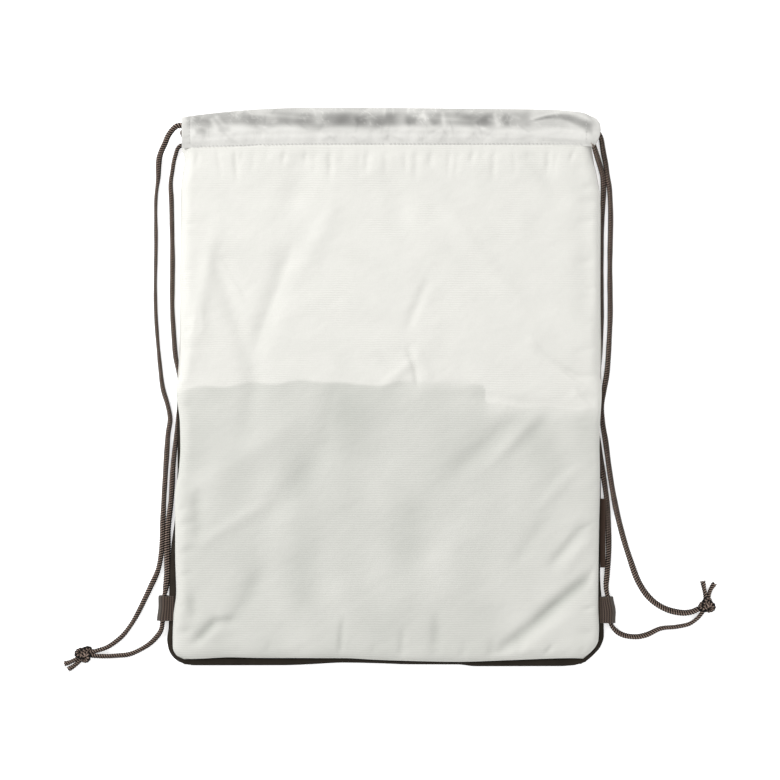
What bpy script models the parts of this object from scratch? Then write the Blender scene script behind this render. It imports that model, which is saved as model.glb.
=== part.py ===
"""Drawstring shoe bag, lying flat with its mouth towards +Y.

Frame: metres, +Z up, the bag rests on z = 0 and the origin is under the middle of the bag.
Design points are written in millimetres and turned into metres by M.
"""

import math

import bmesh
import bpy

M = 0.001  # one millimetre

# ---- driving dimensions, mm -------------------------------------------------
SHIFT_X = 1.05  # centres the bag and its side loops on x = 0
SHIFT_Y = 0.6135  # centres the bag on y = 0
CLOTH = 0.8  # thickness of the two panels
GAP = 0.3  # running gap between neighbours
CORD_R = 1.8  # radius of the braided cord
FOOT_Y = -205.0  # the bottom seam band begins here
FOOT_EDGE = -223.6  # the stitched bottom edge
CROWN_Z = 12.6  # underside of the front panel in the middle of the bag
CASING_T = 2.8  # half thickness of a casing
CASING_WALL = 0.7
REAR_Z = 2.8  # height of the rear casing's middle
FRONT_Z = 13.8  # height of the front casing's middle
SPLIT_Y = 1.2  # join between the two rear panels
HEM_X = 156.0  # the casing's hems begin here on each side

# ---- outline of the cloth, (y, x) in mm ------------------------------------
LEFT_EDGE = [(-218.5, -166), (-213, -172), (-185, -171), (-150, -170), (-110, -169), (-90, -170.4), (-75, -169.4),
             (-40, -166.6), (-15, -167.6), (0, -169.2), (20, -167), (60, -166.4), (100, -165.6), (155, -165.4),
             (170, -164), (180, -162.5), (192, -163)]
RIGHT_EDGE = [(-218.5, 160), (-213, 166), (-205, 168), (-190, 168.6), (-150, 168.8), (-110, 169.4), (-90, 170),
              (-75, 170.4), (-40, 169), (-15, 170.4), (0, 170.6), (20, 169.6), (80, 169.6), (140, 169.8),
              (155, 169), (170, 166.4), (180, 162.4), (192, 161.6)]
REAR_LEFT = [(-223.6, -163), (-217, -172), (-211, -175.2), (-203, -176.4), (-192, -175.1), (-160, -174.6),
             (-132, -173.4), (-104, -170), (-60, -168), (0, -168.4), (20, -167), (100, -165.6), (155, -165.4),
             (170, -164), (180, -162.5), (192, -163)]
REAR_RIGHT = [(-223.6, 155), (-217, 163), (-208, 170.2), (-200, 172.4), (-190, 172.2), (-150, 169.4), (-90, 170),
              (-40, 169), (0, 170.4), (80, 169.6), (140, 169.8), (155, 169), (170, 166.4), (180, 162.4), (192, 161.6)]

# ---- casing outline, (x, top y, bottom y) in mm -----------------------------
CASING = [(-164.5, 214.6, 190.0), (-156, 215.9, 189.9), (-131, 218.8, 190.4), (-102, 221.2, 191.4),
          (-60, 222.4, 192.0), (0, 222.2, 192.0), (60, 221.6, 192.0), (128, 220.8, 192.0), (150, 219.2, 191.6),
          (156, 218.2, 191.4), (165, 213.6, 191.2)]
RIGHT_END_LEAN = 0.35  # the right end leans out towards the top

WHITE = (0.86, 0.855, 0.83, 1.0)
BROWN = (0.060, 0.045, 0.038, 1.0)
TAPE = (0.066, 0.046, 0.038, 1.0)
BRAID = (0.050, 0.036, 0.030, 1.0)

for ob in list(bpy.data.objects):
    bpy.data.objects.remove(ob, do_unlink=True)

BAG = bpy.data.collections.new("shoe_bag")
bpy.context.scene.collection.children.link(BAG)
CUTTERS = bpy.data.collections.new("cutters")
bpy.context.scene.collection.children.link(CUTTERS)


def material(name, colour, rough):
    mat = bpy.data.materials.new(name)
    mat.use_nodes = True
    shader = mat.node_tree.nodes["Principled BSDF"]
    shader.inputs["Base Color"].default_value = colour
    shader.inputs["Roughness"].default_value = rough
    shader.inputs["Metallic"].default_value = 0.0
    return mat


def at(x, y, z):
    """A design point in mm as a point in metres."""
    return ((x + SHIFT_X) * M, (y + SHIFT_Y) * M, z * M)


def along(table, value, column=1):
    """Straight-line reading of a table whose first column rises."""
    if value <= table[0][0]:
        return table[0][column]
    for a, b in zip(table, table[1:]):
        if value <= b[0]:
            t = (value - a[0]) / (b[0] - a[0])
            return a[column] + t * (b[column] - a[column])
    return table[-1][column]


def smooth(t):
    t = min(1.0, max(0.0, t))
    return t * t * (3 - 2 * t)


def between(p, q, start, end, t):
    f = (t - start) / (end - start)
    return tuple(a + f * (b - a) for a, b in zip(p, q))


def curve_through(points, count):
    """count points along a smooth curve through the design points: evenly spaced, after a closer few at the start."""
    pts = [tuple(2 * a - b for a, b in zip(points[0], points[1]))] + list(points)
    pts.append(tuple(2 * a - b for a, b in zip(points[-1], points[-2])))
    fine = []
    for k in range(1, len(pts) - 2):
        four = pts[k - 1:k + 3]
        when = [0.0]
        for p, q in zip(four, four[1:]):
            when.append(when[-1] + math.sqrt(math.dist(p, q)))
        for i in range(24):
            t = when[1] + (when[2] - when[1]) * i / 24
            a = [between(four[j], four[j + 1], when[j], when[j + 1], t) for j in range(3)]
            b = [between(a[j], a[j + 1], when[j], when[j + 2], t) for j in range(2)]
            fine.append(between(b[0], b[1], when[1], when[2], t))
    fine.append(pts[-2])
    run = [0.0]
    for a, b in zip(fine, fine[1:]):
        run.append(run[-1] + math.dist(a, b))
    stops = [1.2, 2.6, 4.6] + [run[-1] * i / (count - 4) for i in range(1, count - 3)]
    out, k = [points[0]], 0
    for s in sorted(stops):
        while k < len(run) - 2 and run[k + 1] < s:
            k += 1
        t = (s - run[k]) / (run[k + 1] - run[k])
        out.append(tuple(a + t * (b - a) for a, b in zip(fine[k], fine[k + 1])))
    return out


def add_mesh(name, bm, mat, collection=BAG):
    mesh = bpy.data.meshes.new(name)
    bmesh.ops.recalc_face_normals(bm, faces=bm.faces)
    bm.to_mesh(mesh)
    bm.free()
    ob = bpy.data.objects.new(name, mesh)
    collection.objects.link(ob)
    mesh.materials.append(mat)
    return ob


def cord(name, points, count, mat):
    """A stretch of braided cord as a round tube."""
    data = bpy.data.curves.new(name, "CURVE")
    data.dimensions = "3D"
    data.bevel_depth = CORD_R * M
    data.bevel_resolution = 2
    data.use_fill_caps = True
    spline = data.splines.new("POLY")
    read = curve_through(points, count)
    spline.points.add(len(read) - 1)
    for p, q in zip(spline.points, read):
        p.co = (*at(*q), 1.0)
    data.materials.append(mat)
    ob = bpy.data.objects.new(name, data)
    BAG.objects.link(ob)
    return ob


SIDE_U = 0.86  # the seam bands begin here, as a share of the half width
SEAM_NOSE_Z = 4.9  # height of the stitched edge


def sheet(name, rows, mat, up=True):
    """A cloth sheet from rows of design points, made CLOTH thick on its inner side."""
    bm = bmesh.new()
    grid = [[bm.verts.new(at(*p)) for p in row] for row in rows]
    for a, b in zip(grid, grid[1:]):
        for i in range(len(a) - 1):
            bm.faces.new((a[i], a[i + 1], b[i + 1], b[i]))
    ob = add_mesh(name, bm, mat)
    first = ob.data.polygons[0]
    if (first.normal.z > 0) != up:
        ob.data.flip_normals()
    solid = ob.modifiers.new("cloth", "SOLIDIFY")
    solid.thickness = CLOTH * M
    solid.offset = -1.0
    ob.data.shade_smooth()
    return ob


def spot(left, right, u, y):
    """x at a share u of the half width, in the row y."""
    xl, xr = along(left, y), along(right, y)
    return (xl + xr) / 2 + u * (xr - xl) / 2


def front_top(y):
    """Top of the front panel: nearly level, lifted a little at the mouth."""
    return CROWN_Z + CLOTH + (FRONT_Z + CLOTH / 2 - CROWN_Z - CLOTH) * smooth((y - 148) / 40)


def front_rows(rows, shares):
    out = []
    for y in rows:
        row = []
        for u in shares:
            x = spot(LEFT_EDGE, RIGHT_EDGE, u, y)
            yy = to_casing(x, y)
            row.append((x, yy, front_top(y)))
        out.append(row)
    return out


def rear_rows(rows, shares):
    out = []
    for y in rows:
        row = []
        for u in shares:
            x = spot(LEFT_EDGE, RIGHT_EDGE, u, y)
            row.append((x, to_casing(x, y), 0.0))
        out.append(row)
    return out


def side_rows(sign, rows):
    """A side seam: the front cloth comes down to the stitched edge and the rear cloth goes back under it."""
    out = []
    for y in rows:
        top = front_top(y)
        low = REAR_LEFT if sign < 0 else REAR_RIGHT
        half = abs(spot(LEFT_EDGE, RIGHT_EDGE, 1, y) - spot(LEFT_EDGE, RIGHT_EDGE, -1, y)) / 2
        middle = spot(LEFT_EDGE, RIGHT_EDGE, 0, y)
        edge = abs(along(low, y) - middle)
        start = SIDE_U * half + CLOTH
        width = edge - start
        nose = SEAM_NOSE_Z
        profile = [(0, top), (0.35, nose + (top - nose) * 0.80), (0.7, nose + (top - nose) * 0.48), (0.93, nose + 1.0),
                   (1.0, nose), (0.9, 4.25), (0.62, 3.7), (0.35, 1.9), (0.06, 0.0)]
        row = []
        for f, z in profile:
            x = middle + sign * (start + f * width)
            row.append((x, to_casing(x, y), z))
        out.append(row)
    return out


def foot_rows(shares):
    """The bottom seam, the same way round: front cloth, stitched edge, rear cloth."""
    out = []
    for u in shares:
        turn = max(0.0, (abs(u) - 0.9) / 0.1)
        row = []
        for f, z in ((0, front_top(0)), (0.4, 10.6), (0.75, 7.6), (0.95, 5.9), (1.0, SEAM_NOSE_Z), (0.85, 3.2),
                     (0.5, 0.9), (0.1, 0.0)):
            y = FOOT_Y - CLOTH + f * (FOOT_EDGE - FOOT_Y + CLOTH) + 6.0 * f * turn * turn
            left, right = along(REAR_LEFT, y), along(REAR_RIGHT, y)
            row.append(((left + right) / 2 + u * (right - left) / 2, y, z))
        out.append(row)
    return out


def to_casing(x, y):
    """Rows at the mouth follow the casing's stitch line."""
    if y < 150:
        return y
    return 150 + (y - 150) / 40 * (along(CASING, x, 2) - GAP - 150)


def casing(name, x0, x1, steps, z, mat):
    """A flat sleeve of cloth along X with open ends, between x0 and x1."""
    bm = bmesh.new()
    rings = []
    for i in range(steps + 1):
        x = x0 + (x1 - x0) * i / steps
        top, low = along(CASING, x, 1), along(CASING, x, 2)
        lean = RIGHT_END_LEAN * smooth((x - HEM_X - GAP) / (164.5 - HEM_X))
        both = []
        for r in (CASING_T, CASING_T - CASING_WALL):
            wall = CASING_T - r
            ring = []
            for centre, start in ((top - wall - r, 0.0), (low + wall + r, math.pi)):
                for k in range(5):
                    a = start + math.pi / 4 * k
                    y = centre + r * math.sin(a)
                    ring.append(bm.verts.new(at(x + lean * (y - 202), y, z + r * math.cos(a))))
            both.append(ring)
        rings.append(both)
    count = len(rings[0][0])
    for a, b in zip(rings, rings[1:]):
        for w in (0, 1):
            for k in range(count):
                n = (k + 1) % count
                bm.faces.new((a[w][k], a[w][n], b[w][n], b[w][k]))
    for end in (rings[0], rings[-1]):
        for k in range(count):
            n = (k + 1) % count
            bm.faces.new((end[0][k], end[0][n], end[1][n], end[1][k]))
    return add_mesh(name, bm, mat)


def side_loop(name, sign, root_x, root, y0, y1, lean, mat):
    """A loop of webbing sewn into a side seam: a closed strap profile in XZ, run along Y, with the cord's way through it."""
    outer = [(root, 6.5), (4.6, 8.3), (9.6, 8.1), (12.9, 4.9), (11.6, 1.3), (8.2, 0.05), (5.4, 0.7), (4.3, 3.2),
             (4.2, 5.3), (root, 5.3)]
    inner = [(5.1, 7.25), (9.2, 7.05), (11.7, 4.7), (10.8, 2.1), (8.1, 1.1), (6.1, 1.6), (5.2, 3.4), (5.1, 5.4)]
    bm = bmesh.new()
    sections = []
    for y, dx in ((y0, 0.0), (y1, lean)):
        rings = []
        for profile in (outer, inner):
            rings.append([bm.verts.new(at(root_x + sign * (px + dx * min(1.0, px / 4.2)), y, pz)) for px, pz in profile])
        sections.append(rings)
    for w in (0, 1):
        a, b = sections[0][w], sections[1][w]
        for k in range(len(a)):
            n = (k + 1) % len(a)
            bm.faces.new((a[k], a[n], b[n], b[k]))
    # the two end faces: strips between the outer and the inner outline
    pairs = [(0, 0, 1), (1, 0, 2), (2, 1, 3), (3, 2, 4), (4, 3, 5), (5, 4, 6), (6, 5, 7), (7, 6, 8)]
    for outer_ring, inner_ring in sections:
        o, i = outer_ring, inner_ring
        bm.faces.new((o[0], o[1], i[0]))
        for k in range(1, 8):
            bm.faces.new((o[k], o[k + 1], i[k], i[k - 1]))
        bm.faces.new((o[8], i[0], i[7]))
        bm.faces.new((o[8], o[9], i[0]))
        bm.faces.new((o[9], o[0], i[0]))
    return add_mesh(name, bm, mat)


def knot(name, centre, radii, turn, tails, mat):
    """The two ends of a cord tied together: a lump with two short tails."""
    bm = bmesh.new()
    bmesh.ops.create_uvsphere(bm, u_segments=14, v_segments=9, radius=1.0)
    for v in bm.verts:
        x, y, z = v.co.x * radii[0], v.co.y * radii[1], v.co.z * radii[2]
        v.co = at(centre[0] + x * math.cos(turn) - y * math.sin(turn),
                  centre[1] + x * math.sin(turn) + y * math.cos(turn), centre[2] + z)
    lump = add_mesh(name, bm, mat)
    for number, points in enumerate(tails):
        tube = cord(f"{name}_tail_{number + 1}", points, 7, mat)
        bpy.context.view_layer.update()
        made = bpy.data.meshes.new_from_object(tube.evaluated_get(bpy.context.evaluated_depsgraph_get()))
        tail = bmesh.new()
        tail.from_mesh(made)
        bmesh.ops.remove_doubles(tail, verts=tail.verts, dist=0.000001)
        label = tube.name
        data = tube.data
        bpy.data.objects.remove(tube, do_unlink=True)
        bpy.data.curves.remove(data)
        joined = add_mesh(label, tail, mat, CUTTERS)
        joined.hide_render = True
        joined.display_type = "WIRE"
        union = lump.modifiers.new(f"tail_{number + 1}", "BOOLEAN")
        union.operation = "UNION"
        union.solver = "EXACT"
        union.object = joined
    return lump


white = material("white_polyester", WHITE, 0.62)
white_rear = material("white_polyester_rear", WHITE, 0.64)
brown = material("brown_polyester", BROWN, 0.7)
casing_cloth = material("casing_cloth", (0.82, 0.815, 0.79, 1.0), 0.62)
tape = material("webbing_tape", TAPE, 0.85)
ribbon = material("label_ribbon", (0.055, 0.040, 0.033, 1.0), 0.8)
braid = material("braided_cord", BRAID, 0.75)

# ---- panels and seams -------------------------------------------------------
SHARES = [-SIDE_U, -0.6, -0.3, 0, 0.3, 0.6, SIDE_U]
SIDE_Y = [FOOT_Y, -190, -160, -132, -104, -60, -20, 0, 20, 60, 100, 140, 155, 170, 180, 190]
sheet("front_panel", front_rows(SIDE_Y, SHARES), white)
sheet("rear_upper_panel", rear_rows([SPLIT_Y + GAP, 75, 150, 165, 190], SHARES), white_rear, up=False)
sheet("rear_lower_panel", rear_rows([FOOT_Y, -140, -70, SPLIT_Y], SHARES), brown, up=False)
sheet("left_side_seam", side_rows(-1, SIDE_Y), white)
sheet("right_side_seam", side_rows(1, SIDE_Y), white)
sheet("bottom_seam", foot_rows([-1, -0.97, -0.9, -0.6, -0.3, 0, 0.3, 0.6, 0.9, 0.97, 1]), white)

# ---- casings, with their hemmed ends ---------------------------------------
for side, z in (("front", FRONT_Z), ("rear", REAR_Z)):
    casing(f"{side}_casing", -HEM_X + GAP, HEM_X - GAP, 12, z, casing_cloth)
    casing(f"{side}_left_hem", -164.5, -HEM_X, 1, z, casing_cloth)
    casing(f"{side}_right_hem", HEM_X, 164.5, 1, z, casing_cloth)

# ---- side loops and the blank side ribbon -----------------------------------
side_loop("left_loop", -1, -171.7, 3.75, -190.4, -167.4, -0.4, tape)
side_loop("right_loop", 1, 169.6, 3.2, -189.6, -166.6, -0.6, tape)

bm = bmesh.new()
bmesh.ops.create_cube(bm, size=1.0)
for v in bm.verts:
    v.co = at(173.0 + v.co.x * 4.8, -117.4 + v.co.y * 55.6, 5.55 + v.co.z * 0.9)
side_ribbon = add_mesh("side_ribbon", bm, ribbon)

# ---- cords: each one runs out of the casings on its own side, and round the casings' far end -----------
F, R, G = FRONT_Z, REAR_Z, 1.86  # heights in the front casing, in the rear casing and on the table
LEFT_OUTER = [(-164.1, 208, F), (-166, 208, F), (-168.8, 207.4, 13.5), (-172, 204.9, 12.4), (-175.8, 200.2, 9.9),
              (-178.8, 194, 7.0), (-181.3, 189.2, 4.8), (-183.2, 184, 3.2), (-184, 177, 2.2), (-184.2, 168, G),
              (-186.2, 150, G), (-186.4, 110, G), (-186.3, 60, G), (-185.2, 38, G), (-183, 16, G),
              (-180.4, -2, G), (-176.6, -15, G), (-174.8, -26, G), (-176.6, -38, G), (-178, -56, G),
              (-179.4, -84, G), (-180.6, -110, G), (-182.2, -134, G), (-185, -148, G), (-190.6, -161, G),
              (-195.2, -171, G), (-200, -180.6, G), (-208, -190.4, G), (-217.4, -201, 1.95), (-226, -208.6, 2.5),
              (-234.7, -211.9, 3.5)]
LEFT_INNER = [(-164.1, 193.4, R), (-165.8, 193.4, R), (-168.6, 191.2, 2.5), (-170.6, 186, 2.2), (-172.2, 180, G),
              (-173.2, 173, G),
              (-174.4, 163, G), (-173.6, 148, G), (-173.2, 110, G), (-173, 65, G), (-172, 45, G), (-170.6, 24, G),
              (-167.4, 6, G), (-167, -12, G), (-168.2, -28, G), (-170.8, -48, G), (-172.8, -66, G),
              (-174.2, -92, G), (-176.4, -114, G), (-178.2, -135, G), (-179.6, -152, 2.4), (-180, -165, 4.1),
              (-180.1, -178, 4.3), (-180.3, -190, 4.2), (-182.2, -196.2, 3.2), (-186.4, -202, 2.1),
              (-192.6, -207.6, G), (-206.6, -214.6, G), (-217.4, -216, G), (-227, -216.4, 2.4),
              (-234.7, -216.5, 3.5)]
RIGHT_OUTER = [(164.1, 203.6, R), (166, 203.6, R), (169.4, 202.2, 2.6), (171.2, 198.4, 2.2), (172, 194, 2.0),
               (172.8, 189.2, G),
               (173.8, 184, G), (175, 178, G), (176, 170, G), (177.6, 160, G), (178.4, 144, G), (178.3, 110, G),
               (178.2, 60, G), (177.4, 38, G), (176, 12, G), (173.4, -4, G), (171.4, -16, G), (172.2, -30, G),
               (174.4, -44, G), (177, -62, G), (180.6, -84, G), (184.4, -104, G), (189.4, -124, G), (196, -144, G),
               (204, -161, G), (212.4, -171, G), (219.8, -175.8, G), (229, -180.6, G), (238, -182.2, 2.2),
               (243.6, -181.4, 2.9), (247.0, -179.6, 3.5)]
RIGHT_INNER = [(158.2, 196.6, F), (160.2, 196.5, F), (164.6, 194.4, 13.5), (168.0, 188.6, 11.9), (169.9, 181.6, 8.6),
               (171.2, 174.6, 5.2), (172.2, 168.6, 3.2), (172.7, 162, 2.0), (172.6, 152, G), (171.6, 132, G),
               (171, 90, G), (170.6, 35, G), (169.6, 18, G), (167.4, 4, G), (166.8, -16, G), (167.4, -34, G),
               (169.6, -50, G), (172.8, -70, G), (175.4, -90, G), (176, -112, G), (176, -136, G),
               (176.6, -152, 2.4), (177.4, -164.6, 4.1), (177.7, -178, 4.3), (178.2, -189.6, 4.2),
               (181.2, -196.2, 3.2), (186.8, -199.8, 2.1), (194, -201.2, G), (203, -200.8, G), (217, -195.6, G), (229, -192.6, G),
               (239.6, -190.2, G), (246.2, -187.6, 2.4), (249.6, -184.6, 3.0)]
cord("left_cord_outer_strand", LEFT_OUTER, 56, braid)
cord("left_cord_inner_strand", LEFT_INNER, 56, braid)
cord("right_cord_outer_strand", RIGHT_OUTER, 56, braid)
cord("right_cord_inner_strand", RIGHT_INNER, 56, braid)

cord("left_cord_front_run", [(-163.5, 208, F), (-160.5, 208.1, F), (-150, 209.6, F), (-100, 213, F), (0, 214.6, F), (100, 213.6, F),
                             (146, 210.4, F), (154.5, 209.2, F), (157.4, 209.1, F)], 24, braid)
cord("left_cord_rear_run", [(-163.5, 193.4, R), (-160.5, 193.5, R), (-140, 195.4, R), (-100, 197, R), (0, 197.8, R),
                            (100, 197.4, R), (144, 197, R), (154.5, 196.7, R), (157.4, 196.6, R)], 24, braid)
cord("right_cord_front_run", [(157.5, 196.6, F), (154.5, 196.8, F), (138, 200, F), (100, 205, F), (0, 207.6, F), (-100, 206.6, F),
                              (-146, 204, F), (-154.5, 203.2, F), (-157.4, 203.1, F)], 24, braid)
cord("right_cord_rear_run", [(163.5, 203.6, R), (160.5, 203.6, R), (146, 203.2, R), (100, 202.7, R), (0, 202.6, R),
                             (-100, 201.8, R), (-144, 200.4, R), (-154.5, 199.7, R), (-157.4, 199.6, R)], 24, braid)
cord("left_cord_turn", [(157.9, 209.1, F), (162, 208.9, F), (167, 208.2, 13.6), (170.2, 206.0, 11.4),
                        (170.4, 202.6, 8.6), (168.2, 199.2, 6.0), (165.2, 197.2, 3.2), (161.4, 196.8, R),
                        (157.9, 196.6, R)], 18, braid)
cord("right_cord_turn", [(-157.9, 203.1, F), (-161.4, 202.9, F), (-165, 202.4, 13.7), (-168.2, 201.6, 11.4),
                         (-169.2, 201.2, 8.3), (-168.2, 200.6, 5.2), (-165, 199.8, 2.9), (-161.4, 199.7, R),
                         (-157.9, 199.6, R)], 18, braid)

knot("left_knot", (-243.4, -214.3, 4.75), (8.3, 7.0, 4.6), 0.0,
     [[(-243, -214.6, 4.2), (-250.6, -217.4, 3.4), (-255, -220.2, 2.4), (-259.2, -222.6, 1.9)],
      [(-243, -216.0, 3.8), (-249.4, -219.6, 3.0), (-253, -222.8, 2.2), (-256.2, -226.6, 1.9)]], braid)
knot("right_knot", (255.5, -175.2, 4.75), (7.8, 7.0, 4.6), math.radians(40),
     [[(255.5, -173, 4.2), (254.2, -168.2, 3.2), (253.4, -162, 2.2), (253.2, -156.4, 1.9)],
      [(256.4, -174, 3.8), (258.4, -168.6, 3.0), (260.2, -163.6, 2.2), (262, -158.6, 1.9)]], braid)
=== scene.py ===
import math

import bpy
import numpy as np
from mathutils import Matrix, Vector


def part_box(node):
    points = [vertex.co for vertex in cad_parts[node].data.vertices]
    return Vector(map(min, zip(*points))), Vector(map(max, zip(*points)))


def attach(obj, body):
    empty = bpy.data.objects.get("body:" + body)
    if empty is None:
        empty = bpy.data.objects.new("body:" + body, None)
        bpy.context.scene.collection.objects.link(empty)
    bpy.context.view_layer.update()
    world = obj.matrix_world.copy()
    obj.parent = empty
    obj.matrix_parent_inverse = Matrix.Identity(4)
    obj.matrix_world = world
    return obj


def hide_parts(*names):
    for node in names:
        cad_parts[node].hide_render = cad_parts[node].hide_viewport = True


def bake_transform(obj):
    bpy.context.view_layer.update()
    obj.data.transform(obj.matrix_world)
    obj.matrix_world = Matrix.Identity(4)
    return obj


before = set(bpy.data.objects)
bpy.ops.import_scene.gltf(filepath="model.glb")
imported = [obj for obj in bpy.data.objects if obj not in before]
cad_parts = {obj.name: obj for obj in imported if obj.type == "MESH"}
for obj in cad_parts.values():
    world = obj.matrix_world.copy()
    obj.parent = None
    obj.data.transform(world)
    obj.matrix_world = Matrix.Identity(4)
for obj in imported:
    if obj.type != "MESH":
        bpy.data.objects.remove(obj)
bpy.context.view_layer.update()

MM = 0.001
SHIFT = np.array([1.05, 0.6135, 0.0])      # the part's shift, mm
GATHER = 0.12                              # each end of the mouth slides this far
PULL = 0.36                                # a knot slides this far out of its end

# ------------------------------------------------------------------ curves


def curve_through(points, step):
    """Centripetal Catmull-Rom through design points in mm, as evenly spaced points."""
    p = np.array(points, float)
    ext = np.vstack([2 * p[0] - p[1], p, 2 * p[-1] - p[-2]])
    out = []
    for i in range(1, len(ext) - 2):
        p0, p1, p2, p3 = ext[i - 1], ext[i], ext[i + 1], ext[i + 2]
        t0 = 0.0
        t1 = t0 + max(np.linalg.norm(p1 - p0), 1e-6) ** 0.5
        t2 = t1 + max(np.linalg.norm(p2 - p1), 1e-6) ** 0.5
        t3 = t2 + max(np.linalg.norm(p3 - p2), 1e-6) ** 0.5
        n = max(4, int(np.linalg.norm(p2 - p1) / 0.4))
        t = np.linspace(t1, t2, n, endpoint=False)[:, None]
        a1 = (t1 - t) / (t1 - t0) * p0 + (t - t0) / (t1 - t0) * p1
        a2 = (t2 - t) / (t2 - t1) * p1 + (t - t1) / (t2 - t1) * p2
        a3 = (t3 - t) / (t3 - t2) * p2 + (t - t2) / (t3 - t2) * p3
        b1 = (t2 - t) / (t2 - t0) * a1 + (t - t0) / (t2 - t0) * a2
        b2 = (t3 - t) / (t3 - t1) * a2 + (t - t1) / (t3 - t1) * a3
        out.append((t2 - t) / (t2 - t1) * b1 + (t - t1) / (t2 - t1) * b2)
    path = np.vstack(out + [p[-1:]])
    s = np.concatenate([[0], np.cumsum(np.linalg.norm(np.diff(path, axis=0), axis=1))])
    n = max(2, int(round(s[-1] / step)) + 1)
    even = np.linspace(0, s[-1], n)
    return np.stack([np.interp(even, s, path[:, k]) for k in range(3)], 1)


def table(rows, shift_first=0.0, shift_second=0.0):
    """A smooth function through (position, value) rows."""
    r = np.array(sorted(rows), float)
    x, y = r[:, 0] + shift_first, r[:, 1] + shift_second
    d = np.diff(y) / np.diff(x)
    m = np.concatenate([[d[0]], np.where(d[:-1] * d[1:] > 0, 2 * d[:-1] * d[1:] / (d[:-1] + d[1:] + 1e-12), 0), [d[-1]]])

    def f(q):
        q = np.clip(np.asarray(q, float), x[0], x[-1])
        i = np.clip(np.searchsorted(x, q) - 1, 0, len(x) - 2)
        h = x[i + 1] - x[i]
        t = (q - x[i]) / h
        return ((1 + 2 * t) * (1 - t) ** 2 * y[i] + t * (1 - t) ** 2 * h * m[i]
                + t * t * (3 - 2 * t) * y[i + 1] + t * t * (t - 1) * h * m[i + 1])

    return f


def smooth(a, b, x):
    t = np.clip((np.asarray(x, float) - a) / (b - a), 0, 1)
    return t * t * (3 - 2 * t)


def waves(seed, count, low, high, angle=None, spread=0.6):
    """A seeded sum of soft waves, wavelengths low to high in mm; roughly -1 to 1."""
    rng = np.random.default_rng(seed)
    rows = []
    for _ in range(count):
        lam = low * (high / low) ** rng.random()
        th = rng.random() * math.pi if angle is None else angle + rng.normal() * spread
        rows.append((2 * math.pi / lam * math.cos(th), 2 * math.pi / lam * math.sin(th), rng.random() * 6.283, lam))

    def f(x, y):
        v = 0
        for kx, ky, ph, lam in rows:
            v = v + np.sin(kx * x + ky * y + ph + 0.8 * np.sin(ky * x * 0.37 - kx * y * 0.41 + 2 * ph))
        return v / math.sqrt(count) * 0.8

    return f


# ------------------------------------------------------------------ meshes


def mesh_object(name, verts, quads, normals=None, loose_faces=(), attributes=None):
    """verts in mm; quads an (n, 4) array; normals per vertex for the quads before loose_faces."""
    name = name.replace(" ", "_")
    me = bpy.data.meshes.new(name)
    faces = [tuple(int(i) for i in q) for q in quads] + [tuple(f) for f in loose_faces]
    me.from_pydata((np.asarray(verts) * MM).tolist(), [], faces)
    me.polygons.foreach_set("use_smooth", np.ones(len(faces), bool))
    me.update()
    if normals is not None:
        loops = np.zeros(len(me.loops), np.int32)
        me.loops.foreach_get("vertex_index", loops)
        ln = np.asarray(normals)[loops].copy()
        first = 4 * len(quads)
        if len(loose_faces):
            pn = np.zeros(len(faces) * 3, np.float32)
            me.polygons.foreach_get("normal", pn)
            pn = pn.reshape(-1, 3)[len(quads):]
            ln[first:] = np.repeat(pn, [len(f) for f in loose_faces], axis=0)
        me.normals_split_custom_set(ln.tolist())
    for key, values in (attributes or {}).items():
        values = np.asarray(values, np.float32)
        if values.ndim == 2:
            a = me.attributes.new(key, "FLOAT_VECTOR", "POINT")
            a.data.foreach_set("vector", values.ravel())
        else:
            a = me.attributes.new(key, "FLOAT", "POINT")
            a.data.foreach_set("value", values)
    o = bpy.data.objects.new(name, me)
    bpy.context.scene.collection.objects.link(o)
    return o


def grid_normals(v, wrap=False):
    if wrap:
        e = np.concatenate([v[:, -1:], v, v[:, :1]], 1)
        du = (e[:, 2:] - e[:, :-2])
    else:
        du = np.gradient(v, axis=1)
    dv = np.gradient(v, axis=0)
    n = np.cross(du, dv)
    return n / np.maximum(np.linalg.norm(n, axis=2, keepdims=True), 1e-9)


def shell(name, v, n, thick, tone, wrap=False, rest=None):
    """A closed cloth shell from a grid of its outer face: an inner face thick mm below it, and walls round its edges."""
    ny, nx = v.shape[:2]
    turned = (grid_normals(v, wrap) * n).sum(2).mean() < 0
    inner = v - n * thick
    verts = np.concatenate([v.reshape(-1, 3), inner.reshape(-1, 3)])
    normals = np.concatenate([n.reshape(-1, 3), -n.reshape(-1, 3)])
    idx = np.arange(ny * nx).reshape(ny, nx)
    if wrap:
        nxt = np.roll(idx, -1, axis=1)
        a, b, c, d = idx[:-1], nxt[:-1], nxt[1:], idx[1:]
    else:
        a, b, c, d = idx[:-1, :-1], idx[:-1, 1:], idx[1:, 1:], idx[1:, :-1]
    top = np.stack([a, b, c, d], -1).reshape(-1, 4)
    low = np.stack([d, c, b, a], -1).reshape(-1, 4) + ny * nx
    walls = []
    off = ny * nx

    def wall(line):
        for i, j in zip(line[:-1], line[1:]):
            walls.append((int(j), int(i), int(i) + off, int(j) + off))

    if wrap:
        wall(list(idx[0]) + [idx[0, 0]])
        wall((list(idx[-1]) + [idx[-1, 0]])[::-1])
    else:
        wall(idx[0])
        wall(idx[-1][::-1])
        wall(idx[:, 0][::-1])
        wall(idx[:, -1])
    if turned:
        top, low = top[:, ::-1], low[:, ::-1]
        walls = [w[::-1] for w in walls]
    t = np.asarray(tone, float).reshape(-1)
    r = (v if rest is None else rest).reshape(-1, 3) * MM
    inner_rest = r - n.reshape(-1, 3) * thick * MM
    return mesh_object(name, verts, np.concatenate([top, low]), normals, walls,
                       {"tone": np.concatenate([t, t]), "rest": np.concatenate([r, inner_rest])})


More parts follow.
